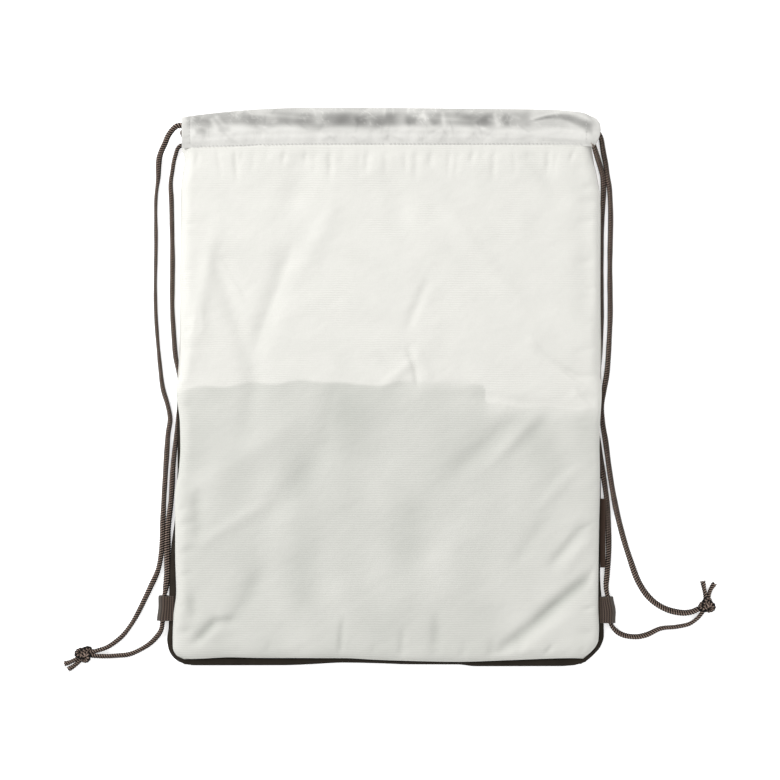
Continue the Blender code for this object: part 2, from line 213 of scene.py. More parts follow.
def coords(o):
    co = np.zeros(len(o.data.vertices) * 3, np.float32)
    o.data.vertices.foreach_get("co", co)
    return co.reshape(-1, 3).astype(float)


def gathers(o):
    """Bakes the piece's placement into its mesh and reads its vertices back."""
    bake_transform(o)
    co = coords(o)
    return o


def finish_piece(o, material, slot, *nodes):
    o.data.materials.clear()
    o.data.materials.append(material)
    if nodes:
        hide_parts(*nodes)
    return o


# ------------------------------------------------------------------ materials


class Nodes:
    """A few short calls to build a node material."""

    def __init__(self, name):
        self.material = bpy.data.materials.new(name)
        self.material.use_nodes = True
        self.tree = self.material.node_tree
        self.tree.nodes.clear()
        self.out = self.add("ShaderNodeOutputMaterial")
        self.bsdf = self.add("ShaderNodeBsdfPrincipled")
        self.link(self.bsdf.outputs[0], self.out.inputs[0])

    def add(self, kind, **settings):
        n = self.tree.nodes.new(kind)
        for k, v in settings.items():
            setattr(n, k, v)
        return n

    def link(self, a, b):
        self.tree.links.new(a, b)

    def put(self, socket, value):
        if hasattr(value, "is_linked") or isinstance(value, bpy.types.NodeSocket):
            self.link(value, socket)
        else:
            socket.default_value = value

    def attribute(self, name, vector=False):
        n = self.add("ShaderNodeAttribute", attribute_name=name, attribute_type="GEOMETRY")
        return n.outputs["Vector"] if vector else n.outputs["Fac"]

    def math(self, op, a, b=0.0, clamp=False):
        n = self.add("ShaderNodeMath", operation=op, use_clamp=clamp)
        self.put(n.inputs[0], a)
        self.put(n.inputs[1], b)
        return n.outputs[0]

    def scaled(self, vector, scale):
        n = self.add("ShaderNodeVectorMath", operation="MULTIPLY")
        self.link(vector, n.inputs[0])
        n.inputs[1].default_value = scale
        return n.outputs[0]

    def split(self, vector):
        n = self.add("ShaderNodeSeparateXYZ")
        self.link(vector, n.inputs[0])
        return n.outputs

    def noise(self, vector, scale, detail=2.0, roughness=0.5):
        n = self.add("ShaderNodeTexNoise", noise_dimensions="3D")
        self.link(vector, n.inputs["Vector"])
        n.inputs["Scale"].default_value = scale
        n.inputs["Detail"].default_value = detail
        n.inputs["Roughness"].default_value = roughness
        return n.outputs[0]

    def ramp(self, value, low, high, to_low=0.0, to_high=1.0):
        n = self.add("ShaderNodeMapRange", clamp=True, interpolation_type="SMOOTHSTEP")
        self.put(n.inputs["Value"], value)
        for k, v in (("From Min", low), ("From Max", high), ("To Min", to_low), ("To Max", to_high)):
            n.inputs[k].default_value = v
        return n.outputs[0]

    def mix(self, fac, a, b):
        n = self.add("ShaderNodeMix", data_type="RGBA", clamp_factor=True)
        self.put(n.inputs[0], fac)
        for s, v in ((n.inputs[6], a), (n.inputs[7], b)):
            if isinstance(v, tuple):
                s.default_value = (*v, 1.0)
            else:
                self.link(v, s)
        return n.outputs[2]

    def shade(self, colour, factor):
        n = self.add("ShaderNodeVectorMath", operation="SCALE")
        self.link(colour, n.inputs[0])
        self.put(n.inputs["Scale"], factor)
        return n.outputs[0]

    def bump(self, height, distance, strength=1.0, normal=None):
        n = self.add("ShaderNodeBump")
        n.inputs["Strength"].default_value = strength
        n.inputs["Distance"].default_value = distance
        self.link(height, n.inputs["Height"])
        if normal is not None:
            self.link(normal, n.inputs["Normal"])
        return n.outputs[0]

    def sheen(self, weight, roughness, tint):
        self.bsdf.inputs["Sheen Weight"].default_value = weight
        self.bsdf.inputs["Sheen Roughness"].default_value = roughness
        self.bsdf.inputs["Sheen Tint"].default_value = (*tint, 1.0)


def linear(r, g, b):
    """An 8-bit screen colour as a linear one."""
    return tuple(((c / 255 + 0.055) / 1.055) ** 2.4 if c > 10.3 else c / 3294.6 for c in (r, g, b))


def cloth(name, light, dark, ribs=0.014, patch=0.02, roughness=0.78, weave=0.00005, wrinkle=0.0006, sheen=0.12, gloss=0.25):
    """Thin woven polyester: faint cross ribs, a fine plain weave, patches that lie closer or further from what is under it."""
    m = Nodes(name)
    rest = m.attribute("rest", vector=True)
    tone = m.attribute("tone")
    x, y, _ = m.split(rest)
    drift = m.noise(rest, 70.0, 2.0)
    wave = m.math("SINE", m.math("ADD", m.math("MULTIPLY", y, 2 * math.pi / 0.00186), m.math("MULTIPLY", drift, 5.0)))
    patches = m.ramp(m.math("ADD", m.noise(m.scaled(rest, (0.6, 1.0, 1.0)), 38.0, 3.0), m.math("MULTIPLY", tone, 0.35)), 0.42, 0.70)
    rib = m.math("MULTIPLY", wave, m.math("MULTIPLY", patches, ribs))
    warp = m.math("SINE", m.math("MULTIPLY", x, 2 * math.pi / 0.00062))
    weft = m.math("SINE", m.math("MULTIPLY", y, 2 * math.pi / 0.00058))
    plain = m.math("MULTIPLY", warp, weft)
    slub = m.noise(m.scaled(rest, (1.0, 9.0, 1.0)), 260.0, 2.0)
    slub2 = m.noise(m.scaled(rest, (7.0, 1.0, 1.0)), 230.0, 2.0)
    mottle = m.noise(rest, 55.0, 4.0, 0.6)
    fine = m.noise(rest, 900.0, 2.0)
    # the tone attribute darkens the colour: partly what shows through from behind, partly painted shade in folds and in
    # the gap at the brown border, and painted light and shade on the casing's wrinkles
    colour = m.mix(tone, light, dark)
    factor = m.math("ADD", 1.0, rib)
    factor = m.math("ADD", factor, m.math("MULTIPLY", m.math("SUBTRACT", mottle, 0.5), patch * 2))
    factor = m.math("ADD", factor, m.math("MULTIPLY", m.math("SUBTRACT", slub, 0.5), 0.035))
    factor = m.math("ADD", factor, m.math("MULTIPLY", m.math("SUBTRACT", slub2, 0.5), 0.02))
    factor = m.math("ADD", factor, m.math("MULTIPLY", plain, 0.006))
    m.link(m.shade(colour, factor), m.bsdf.inputs["Base Color"])
    m.link(m.ramp(mottle, 0.3, 0.7, roughness - 0.06, roughness + 0.08), m.bsdf.inputs["Roughness"])
    creased = m.noise(rest, 62.0, 5.0, 0.55)
    b1 = m.bump(creased, wrinkle, 1.0)
    b2 = m.bump(m.math("ADD", m.math("MULTIPLY", plain, 0.5), m.math("MULTIPLY", fine, 0.8)), weave, 1.0, b1)
    b3 = m.bump(m.math("MULTIPLY", wave, patches), 0.00003, 1.0, b2)
    m.link(b3, m.bsdf.inputs["Normal"])
    m.sheen(sheen, 0.45, (1.0, 1.0, 1.0))
    m.bsdf.inputs["Specular IOR Level"].default_value = gloss
    return m.material


def braid(name, high, low, sheen=0.25):
    """Flat polyester braid: the plaits are in the mesh, and the filaments and lint are here; its colour runs from low
    to high with the painted shade and highlight of the plaits.
    """
    m = Nodes(name)
    painted_plait_shade = m.attribute("tone")
    rest = m.attribute("rest", vector=True)
    filaments = m.noise(m.scaled(rest, (1.0, 1.0, 1.0)), 1900.0, 3.0, 0.6)
    dirt = m.noise(rest, 90.0, 3.0)
    # painted shade in the grooves and on the cord's sides, painted highlight on the plait tops
    colour = m.mix(m.ramp(painted_plait_shade, 0.30, 0.86), low, high)
    factor = m.math("ADD", 0.78, m.math("MULTIPLY", filaments, 0.44))
    factor = m.math("MULTIPLY", factor, m.ramp(dirt, 0.3, 0.7, 0.88, 1.12))
    m.link(m.shade(colour, factor), m.bsdf.inputs["Base Color"])
    m.link(m.ramp(filaments, 0.3, 0.7, 0.65, 0.9), m.bsdf.inputs["Roughness"])
    m.link(m.bump(filaments, 0.00012, 0.8), m.bsdf.inputs["Normal"])
    m.sheen(sheen, 0.4, (0.9, 0.85, 0.8))
    m.bsdf.inputs["Specular IOR Level"].default_value = 0.12
    return m.material


def webbing(name, high, low, pale, pitch=0.0011):
    """Narrow woven tape with a cross rib, a worn paler edge and loose lint."""
    m = Nodes(name)
    rest = m.attribute("rest", vector=True)
    tone = m.attribute("tone")
    x, y, _ = m.split(rest)
    jitter = m.noise(rest, 400.0, 2.0)
    cross = m.math("SINE", m.math("ADD", m.math("MULTIPLY", x, 2 * math.pi / pitch), m.math("MULTIPLY", jitter, 1.5)))
    slant = m.math("SINE", m.math("ADD", m.math("MULTIPLY", y, 2 * math.pi / (pitch * 0.85)), m.math("MULTIPLY", cross, 2.0)))
    rib = m.ramp(m.math("ADD", m.math("MULTIPLY", cross, 0.6), m.math("MULTIPLY", slant, 0.5)), -1.0, 1.0)
    lint = m.noise(m.scaled(rest, (1.0, 2.5, 1.0)), 1500.0, 3.0, 0.65)
    base = m.mix(rib, low, high)
    worn = m.mix(m.math("MULTIPLY", tone, m.ramp(lint, 0.35, 0.65, 0.7, 1.0)), base, pale)
    factor = m.math("ADD", 0.8, m.math("MULTIPLY", lint, 0.4))
    m.link(m.shade(worn, factor), m.bsdf.inputs["Base Color"])
    m.link(m.ramp(lint, 0.3, 0.7, 0.6, 0.85), m.bsdf.inputs["Roughness"])
    b = m.bump(rib, 0.0002, 0.7)
    m.link(m.bump(lint, 0.0001, 0.7, b), m.bsdf.inputs["Normal"])
    m.sheen(0.03, 0.4, (0.9, 0.85, 0.8))
    m.bsdf.inputs["Specular IOR Level"].default_value = 0.12
    return m.material


WHITE = cloth("white woven polyester", (0.650, 0.645, 0.607), (0.425, 0.434, 0.400), ribs=0.042, patch=0.012, wrinkle=0.0004)
CASING = cloth("casing cloth", (0.640, 0.634, 0.606), (0.150, 0.148, 0.142), ribs=0.012, patch=0.03, wrinkle=0.0007)
BROWN = cloth("brown woven polyester", (0.024, 0.0195, 0.0145), (0.0012, 0.0010, 0.0009), ribs=0.10, patch=0.25, roughness=0.85, sheen=0.0, gloss=0.08)
THREAD = cloth("sewing thread", (0.60, 0.598, 0.575), (0.42, 0.42, 0.41), ribs=0.0, patch=0.03, wrinkle=0.0001)
CORD = braid("braided cord", (0.275, 0.205, 0.168), (0.0015, 0.0010, 0.0008), 0.02)
TAPE = webbing("loop webbing", (0.112, 0.082, 0.066), (0.004, 0.003, 0.0024), (0.085, 0.078, 0.070), pitch=0.0019)
RIBBON = webbing("side ribbon", (0.058, 0.036, 0.026), (0.034, 0.021, 0.015), (0.06, 0.045, 0.036), pitch=0.0008)

# ------------------------------------------------------------------ camera, floor, light

MID_X, MID_Y = 0.00265, -0.00219
cam_data = bpy.data.cameras.new("camera")
cam_data.lens = 100
cam_data.sensor_width = 36
cam_data.clip_end = 20
cam = bpy.data.objects.new("camera", cam_data)
cam.location = (MID_X, MID_Y, 1.741)
bpy.context.scene.collection.objects.link(cam)
bpy.context.scene.camera = cam
bpy.context.scene.view_settings.view_transform = "Standard"
bpy.context.scene.view_settings.look = "None"

floor_mat = Nodes("pale floor")
coord = floor_mat.add("ShaderNodeTexCoord").outputs["Object"]
grain = floor_mat.noise(coord, 30.0, 3.0)
floor_mat.link(floor_mat.mix(grain, (0.955, 0.955, 0.955), (0.965, 0.965, 0.965)), floor_mat.bsdf.inputs["Base Color"])
floor_mat.link(floor_mat.ramp(grain, 0.3, 0.7, 0.9, 1.0), floor_mat.bsdf.inputs["Roughness"])
floor_mat.bsdf.inputs["Specular IOR Level"].default_value = 0.1
floor_mat.bsdf.inputs["Emission Color"].default_value = (1.0, 1.0, 1.0, 1.0)
floor_mat.bsdf.inputs["Emission Strength"].default_value = 0.48
floor_mesh = bpy.data.meshes.new("floor")
floor_mesh.from_pydata([(-4, -4, 0), (4, -4, 0), (4, 4, 0), (-4, 4, 0)], [], [(0, 1, 2, 3)])
floor = bpy.data.objects.new("floor", floor_mesh)
floor.location.z = -0.0004
floor.data.materials.append(floor_mat.material)
bpy.context.scene.collection.objects.link(floor)


def area_light(name, where, aim, size, power):
    data = bpy.data.lights.new(name, "AREA")
    data.shape = "SQUARE"
    data.size = size
    data.energy = power
    o = bpy.data.objects.new(name, data)
    o.location = where
    o.rotation_euler = (Vector(aim) - Vector(where)).to_track_quat("-Z", "Y").to_euler()
    bpy.context.scene.collection.objects.link(o)
    return o


key = area_light("key", (-1.5, 1.35, 1.55), (0, 0, 0), 1.3, 55)
fill = area_light("fill", (1.4, -1.2, 2.2), (0, 0, 0), 2.2, 10)
world = bpy.data.worlds.new("studio")
world.use_nodes = True
world.node_tree.nodes["Background"].inputs[0].default_value = (1.0, 1.0, 1.0, 1.0)
world.node_tree.nodes["Background"].inputs[1].default_value = 0.74
bpy.context.scene.world = world

# ------------------------------------------------------------------ the drawcords

F, R, G = 13.8, 2.8, 1.86
LEFT_OUTER = [(-164.1, 208, F), (-166, 208, F), (-168.8, 207.4, 13.5), (-172, 204.9, 12.4), (-175.8, 200.2, 9.9), (-178.8, 194, 7.0),
              (-181.3, 189.2, 4.8), (-183.2, 184, 3.2), (-184, 177, 2.2), (-184.2, 168, G), (-186.2, 150, G), (-186.4, 110, G), (-186.3, 60, G),
              (-185.2, 38, G), (-183, 16, G), (-180.4, -2, G), (-176.6, -15, G), (-174.8, -26, G), (-176.6, -38, G), (-178, -56, G),
              (-179.4, -84, G), (-180.6, -110, G), (-182.2, -134, G), (-185, -148, G), (-190.6, -161, G), (-195.2, -171, G),
              (-200.1, -181.1, G), (-205.5, -190.4, G), (-212.4, -199.4, 1.95), (-218.4, -204.6, 2.0), (-226, -209.4, 2.5), (-234.7, -212.2, 3.5),
              (-239.5, -213.2, 4.4), (-243, -214, 4.8)]
LEFT_INNER = [(-164.1, 193.4, R), (-165.8, 193.4, R), (-168.6, 191.2, 2.5), (-170.6, 186, 2.2), (-172.2, 180, G), (-173.2, 173, G),
              (-174.4, 163, G), (-173.6, 148, G), (-173.2, 110, G), (-173, 65, G), (-172, 45, G), (-170.6, 24, G), (-167.4, 6, G),
              (-167, -12, G), (-168.2, -28, G), (-170.8, -48, G), (-172.8, -66, G), (-174.2, -92, G), (-176.4, -114, G), (-177.0, -135, G),
              (-177.2, -150, 2.4), (-178.4, -162, 3.9), (-179.7, -169.5, 4.2), (-180.1, -178, 4.3), (-180.7, -189.4, 4.2), (-181.9, -195.6, 3.2), (-186.4, -202, 2.1),
              (-192.6, -207.6, G), (-206.6, -214.6, G), (-217.4, -216, G), (-227, -216.4, 2.4), (-234.7, -216.0, 3.5), (-239.5, -215.4, 4.3), (-243, -214.6, 4.6)]
RIGHT_OUTER = [(164.1, 203.6, R), (166, 203.6, R), (169.4, 202.2, 2.6), (171.2, 198.4, 2.2), (172, 194, 2.0), (172.8, 189.2, G),
               (173.8, 184, G), (175, 178, G), (176, 170, G), (177.6, 160, G), (178.4, 144, G), (178.3, 110, G), (178.2, 60, G),
               (177.4, 38, G), (176, 12, G), (173.4, -4, G), (171.4, -16, G), (172.2, -30, G), (174.4, -44, G), (177, -62, G),
               (180.6, -84, G), (184.4, -104, G), (189.4, -124, G), (194.2, -138.8, G), (200.6, -155.6, G), (207.6, -166.8, G), (214.6, -173.6, G), (222.6, -178.3, G),
               (230.6, -180.8, G), (238.2, -181.6, 2.2), (244.4, -180.4, 2.9), (248.2, -178.6, 3.7), (251.6, -177.4, 4.5), (254.4, -175.8, 4.8)]
RIGHT_INNER = [(158.2, 196.6, F), (160.2, 196.3, F), (163.6, 193.6, 13.4), (165.8, 188.0, 11.7), (168.1, 181.6, 8.5), (170.5, 174.6, 5.2),
               (172.2, 168.6, 3.2), (172.7, 162, 2.0), (172.6, 152, G), (171.6, 132, G), (171, 90, G), (170.6, 35, G), (169.6, 18, G),
               (167.4, 4, G), (166.8, -16, G), (167.4, -34, G), (169.6, -50, G), (172.8, -70, G), (175.4, -90, G), (176.6, -112, G),
               (177.1, -136, G), (176.0, -150, 2.4), (175.1, -161.2, 3.8), (176.3, -169, 4.2), (177.6, -178, 4.3), (178.3, -189.6, 4.2), (182.6, -195.8, 3.2),
               (189.4, -199.6, 2.1), (199.2, -200.8, G), (207.6, -199.2, G), (219.0, -194.2, G), (231.6, -192.8, G), (242.0, -190.4, G),
               (248.0, -186.0, 2.9), (251.0, -182.2, 3.8), (254.6, -176.6, 4.6)]
LEFT_FRONT = [(-163.5, 208, F), (-160.5, 208.1, F), (-150, 209.6, F), (-100, 213, F), (0, 214.6, F), (100, 213.6, F), (146, 210.4, F),
              (154.5, 209.2, F), (157.4, 209.1, F)]
LEFT_REAR = [(-163.5, 193.4, R), (-160.5, 193.5, R), (-140, 195.4, R), (-100, 197, R), (0, 197.8, R), (100, 197.4, R), (144, 197, R),
             (154.5, 196.7, R), (157.4, 196.6, R)]
RIGHT_FRONT = [(157.5, 196.6, F), (154.5, 196.8, F), (138, 200, F), (100, 205, F), (0, 207.6, F), (-100, 206.6, F), (-146, 204, F),
               (-154.5, 203.2, F), (-157.4, 203.1, F)]
RIGHT_REAR = [(163.5, 203.6, R), (160.5, 203.6, R), (146, 203.2, R), (100, 202.7, R), (0, 202.6, R), (-100, 201.8, R), (-144, 200.4, R),
              (-154.5, 199.7, R), (-157.4, 199.6, R)]
LEFT_TURN = [(157.9, 209.1, F), (162, 208.9, F), (165.8, 208.2, 13.6), (167.6, 206.0, 11.4), (167.9, 202.6, 8.6), (166.9, 199.2, 6.0),
             (165.2, 197.2, 3.2), (161.4, 196.8, R), (157.9, 196.6, R)]
RIGHT_TURN = [(-157.9, 203.1, F), (-160.8, 203.0, F), (-163.2, 202.8, 13.4), (-164.5, 202.2, 11.2),
              (-164.8, 201.4, 8.3), (-164.5, 200.6, 5.4), (-163.2, 199.9, 3.1), (-160.8, 199.7, R), (-157.9, 199.6, R)]


def tube(name, path, wide, thick, twist=0.0, sides=20, plait=0.27, pitch=1.95, floor_z=None, wrap=1.0):
    """A flat braid along path (mm, evenly spaced): an oval that turns, with its plaits raised in the mesh."""
    n = len(path)
    wide = np.broadcast_to(np.asarray(wide, float), (n,))
    thick = np.broadcast_to(np.asarray(thick, float), (n,))
    twist = np.broadcast_to(np.asarray(twist, float), (n,))
    tan = np.gradient(path, axis=0)
    tan /= np.linalg.norm(tan, axis=1, keepdims=True)
    s = np.concatenate([[0], np.cumsum(np.linalg.norm(np.diff(path, axis=0), axis=1))])
    up = np.zeros((n, 3))
    cur = np.array([0.0, 0.0, 1.0])
    for i in range(n):
        ref = 0.97 * cur + 0.03 * np.array([0.0, 0.0, 1.0])
        ref = ref - tan[i] * (ref @ tan[i])
        cur = ref / np.linalg.norm(ref)
        up[i] = cur
    side = np.cross(tan, up)
    c, sn = np.cos(twist)[:, None], np.sin(twist)[:, None]
    side, up = side * c + up * sn, up * c - side * sn
    th = np.arange(sides) * 2 * math.pi / sides
    tri = np.abs(((2 * th / math.pi + 0.5) % 2) - 1) * 2 - 1
    h = np.sin(2 * math.pi * s[:, None] / pitch + 2.4 * tri[None, :] * wrap) * plait
    h = h - 0.14 * np.exp(-((np.abs(np.sin(th)) - 1) / 0.02) ** 2)[None, :]
    a = wide[:, None] / 2 * np.sign(np.cos(th)) * np.abs(np.cos(th)) ** 0.85
    b = thick[:, None] / 2 * np.sign(np.sin(th)) * np.abs(np.sin(th)) ** 0.85
    r = np.sqrt(a * a + b * b)
    k = (r + h - plait * 0.5) / np.maximum(r, 1e-6)
    v = path[:, None, :] + side[:, None, :] * (a * k)[..., None] + up[:, None, :] * (b * k)[..., None]
    if floor_z is not None:
        v[..., 2] = np.maximum(v[..., 2], floor_z)
    nrm = grid_normals(v, wrap=True)
    if np.mean(np.sum(nrm * (v - path[:, None, :]), axis=2)) < 0:
        v = v[:, ::-1]
        h = h[:, ::-1]
    idx = np.arange(n * sides).reshape(n, sides)
    nxt = np.roll(idx, -1, axis=1)
    quads = np.stack([idx[:-1], nxt[:-1], nxt[1:], idx[1:]], -1).reshape(-1, 4)
    verts = np.concatenate([v.reshape(-1, 3), path[:1] - tan[:1] * 0.3, path[-1:] + tan[-1:] * 0.3])
    caps = [(int(idx[0, (j + 1) % sides]), int(idx[0, j]), n * sides) for j in range(sides)]
    caps += [(int(idx[-1, j]), int(idx[-1, (j + 1) % sides]), n * sides + 1) for j in range(sides)]
    # painted shade: the braid darkens in the grooves between plaits and towards the cord's sides, and the plait tops
    # get a painted highlight
    edge = 0.16 + 0.84 * np.abs(np.sin(th))[None, :] ** 1.1
    tone = np.concatenate([(np.clip(0.5 + 0.5 * h / plait, 0, 1) * edge).ravel(), [0.1, 0.1]])
    # textures follow the cord's own length, so they stay with it
    along = np.stack([np.broadcast_to(s[:, None], (n, sides)), r * np.cos(th), r * np.sin(th)], -1).reshape(-1, 3)
    rest = np.concatenate([along, [[0, 0, 0], [s[-1], 0, 0]]]) * MM
    o = mesh_object(name, verts, quads, None, caps, {"tone": tone, "rest": rest})
    me = o.data
    me.validate()
    return o


def profile(path, rows):
    """A width or turn that changes along the cord: rows of (share of its length, value)."""
    u = np.linspace(0, 1, len(path))
    r = np.array(rows, float)
    return np.interp(u, r[:, 0], r[:, 1])


def strand(name, points, wide, thick, twist, node):
    path = curve_through(np.array(points) + SHIFT, 0.42)
    w = profile(path, wide)
    t = profile(path, thick)
    rng = np.random.default_rng(len(name) * 7 + len(points))
    u = np.arange(len(path)) * 0.42
    w = w + 0.18 * np.sin(u / 9.0 + rng.random() * 6) + 0.12 * np.sin(u / 4.1 + rng.random() * 6)
    path = path.copy()
    side_step = 0.22 * np.sin(u / 14.0 + rng.random() * 6) * smooth(0, 12, u) * smooth(0, 12, u[-1] - u)
    path[:, 0] += side_step
    o = tube(name, path, w, t, profile(path, twist), sides=20, floor_z=0.05)
    finish_piece(o, CORD, "braided_cord", node)
    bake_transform(o)
    # the nearest point of the path to each vertex, and its y, are found; nothing uses them
    co = coords(o)
    d = np.sqrt(((path[None, ::6, :2] * MM - co[:, None, :2]) ** 2).sum(2))
    nearest = np.argmin(d, axis=1) * 6
    y = path[nearest, 1]
    return o, path


TURN = math.pi
lo, lo_path = strand("left outer cord", LEFT_OUTER,
                     [(0, 4.6), (0.08, 4.9), (0.13, 3.0), (0.3, 2.9), (0.42, 3.3), (0.55, 4.3), (0.8, 4.4), (0.9, 4.0), (1, 3.4)],
                     [(0, 3.3), (0.1, 3.3), (0.13, 3.2), (1, 3.1)],
                     [(0, 0.2), (0.1, 0.0), (0.2, 0.5), (0.4, 0.3), (0.6, 0.1), (0.8, 0.0), (1, 0.4)], "left_cord_outer_strand")
li, li_path = strand("left inner cord", LEFT_INNER,
                     [(0, 3.4), (0.05, 3.6), (0.12, 4.0), (0.5, 4.1), (0.64, 4.6), (0.70, 5.5), (0.762, 5.5), (0.776, 5.2), (0.788, 3.8), (0.843, 3.8), (0.86, 4.2), (1, 3.4)],
                     [(0, 3.2), (0.5, 3.1), (1, 3.1)],
                     [(0, 0.0), (0.3, 0.2), (0.6, -0.1), (1, 0.0)], "left_cord_inner_strand")
ro, ro_path = strand("right outer cord", RIGHT_OUTER,
                     [(0, 4.2), (0.03, 4.5), (0.10, 4.5), (0.18, 4.3), (0.4, 4.4), (0.55, 4.5), (0.8, 4.8), (0.93, 5.1), (1, 4.2)],
                     [(0, 3.1), (1, 3.1)],
                     [(0, 0.3), (0.3, 0.1), (0.6, 0.0), (1, 0.2)], "right_cord_outer_strand")
ri, ri_path = strand("right inner cord", RIGHT_INNER,
                     [(0, 4.2), (0.04, 4.6), (0.10, 4.5), (0.2, 4.4), (0.5, 4.7), (0.745, 4.7), (0.768, 3.7), (0.822, 3.7), (0.835, 4.5), (0.87, 4.4), (0.92, 3.7), (1, 3.3)],
                     [(0, 3.2), (0.8, 3.1), (1, 2.9)],
                     [(0, 0.0), (0.3, 0.1), (0.7, 0.0), (1, 0.5)], "right_cord_inner_strand")


def run(name, points, node):
    """The part of a cord inside its casing, in two halves split where x is nearest zero."""
    path = curve_through(np.array(points) + SHIFT, 1.0)
    if path[0, 0] > path[-1, 0]:
        path = path[::-1]
    cut = int(np.argmin(np.abs(path[:, 0])))
    made = []
    for side, part in (("left", path[: cut + 1]), ("right", path[cut:])):
        o = tube(f"{name} {side} half", part, 3.4, 3.2, 0.0, sides=12, plait=0.1, pitch=4.0)
        finish_piece(o, CORD, "braided_cord", node)
        gathers(o)
        made.append(o)
    return made


run("left cord front run", LEFT_FRONT, "left_cord_front_run")
run("left cord rear run", LEFT_REAR, "left_cord_rear_run")
run("right cord front run", RIGHT_FRONT, "right_cord_front_run")
run("right cord rear run", RIGHT_REAR, "right_cord_rear_run")
for name, points, side, node in (("left cord turn", LEFT_TURN, "right", "left_cord_turn"), ("right cord turn", RIGHT_TURN, "left", "right_cord_turn")):
    p = curve_through(np.array(points) + SHIFT, 0.42)
    o = tube(name, p, profile(p, [(0, 3.2), (0.35, 4.6), (0.65, 4.6), (1, 3.2)]), 2.2, 0.0, sides=18)
    finish_piece(o, CORD, "braided_cord", node)
    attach(o, "mouth_" + side)

# ------------------------------------------------------------------ knots and tails


def knot(name, centre, size, turn, tails, body, node, seed):
    """A tight overhand knot tied in both strands together, and its two cut tails."""
    centre = np.array(centre) + SHIFT
    t = np.linspace(0, 2 * math.pi, 330, endpoint=False)
    made = []
    ct, st = math.cos(turn), math.sin(turn)
    for k, off in enumerate((-1, 1)):
        a = np.sin(t) + 2 * np.sin(2 * t)
        b = np.cos(t) - 2 * np.cos(2 * t)
        c = -np.sin(3 * t)
        px = a * (size[0] - 3.1) / 2.75 + off * 0.75 * np.cos(t * 1.5)
        py = b * (size[1] - 2.6) / 2.9 + off * 0.75 * np.sin(t * 1.5)
        pz = c * (size[2] - 1.9) * 0.62 + off * 0.7
        p = np.stack([px * ct - py * st, px * st + py * ct, pz], 1) + centre
        p = np.vstack([p, p[:3]])
        s = np.concatenate([[0], np.cumsum(np.linalg.norm(np.diff(p, axis=0), axis=1))])
        even = np.linspace(0, s[-1], int(s[-1] / 0.42))
        p = np.stack([np.interp(even, s, p[:, i]) for i in range(3)], 1)
        o = tube(f"{name} wrap {k + 1}", p, 4.3, 3.3, 0.3 * off, sides=18, floor_z=0.05)
        made.append(o)
    q = curve_through([centre + [-2.2, -0.6, -0.3], centre + [0, 0.3, 0.2], centre + [2.2, 0.5, -0.2]], 0.42)
    made.append(tube(f"{name} core", q, 6.4, 5.6, 0.4, sides=18, floor_z=0.05))
    for k, pts in enumerate(tails):
        p = curve_through(np.array(pts) + SHIFT, 0.42)
        wide = profile(p, [(0, 4.0), (0.3, 3.5), (0.7, 3.5), (0.9, 4.2), (1, 4.0)])
        o = tube(f"{name} tail {k + 1}", p, wide, profile(p, [(0, 2.8), (0.8, 2.4), (1, 1.7)]), 0.2, sides=18, floor_z=0.05)
        made.append(o)
        # the cut end's loose filaments
        rng = np.random.default_rng(seed + k)
        end, back = p[-1], p[-8]
        d = (end - back) / np.linalg.norm(end - back)
        across = np.array([-d[1], d[0], 0])
        for j in range(9):
            u = (j - 4) / 4
            a0 = end + across * u * 1.6 - d * 0.4
            a1 = a0 + d * (0.8 + 0.7 * rng.random()) + across * (u * 0.5 + rng.normal() * 0.2) + np.array([0, 0, rng.normal() * 0.15])
            q = curve_through([a0, (a0 + a1) / 2 + across * rng.normal() * 0.12, a1], 0.35)
            made.append(tube(f"{name} tail {k + 1} filament {j + 1}", q, 0.5, 0.42, 0, sides=6, plait=0.02, floor_z=0.05))
    bpy.ops.object.select_all(action="DESELECT")
    for o in made:
        o.select_set(True)
    bpy.context.view_layer.objects.active = made[0]
    bpy.ops.object.join()
    o = made[0]
    o.name = name.replace(" ", "_")
    finish_piece(o, CORD, "braided_cord", node)
    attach(o, body)
    return o


left_knot = knot("left knot", (-243.4, -214.3, 4.75), (8.3, 7.0, 4.6), math.radians(20),
                 [[(-246, -216.5, 4.6), (-251, -219.2, 3.4), (-255.2, -221.2, 2.2), (-259.4, -222.6, 1.5)],
                  [(-244.5, -217.5, 4.2), (-249.5, -222.2, 2.6), (-253, -225, 1.9), (-256.2, -226.8, 1.5)]], "left_knot", "left_knot", 3)
right_knot = knot("right knot", (255.5, -175.2, 4.75), (7.8, 7.0, 4.6), math.radians(60),
                  [[(255.0, -172.5, 4.8), (254.2, -166.0, 3.8), (253.4, -161.0, 2.2), (252.8, -156.8, 1.6)],
                   [(256.4, -172.0, 4.0), (257.6, -166.0, 2.9), (259.4, -162.0, 1.9), (261.8, -158.4, 1.6)]], "right_knot", "right_knot", 8)


# ------------------------------------------------------------------ the bag's outline (mm, with the part's shift)

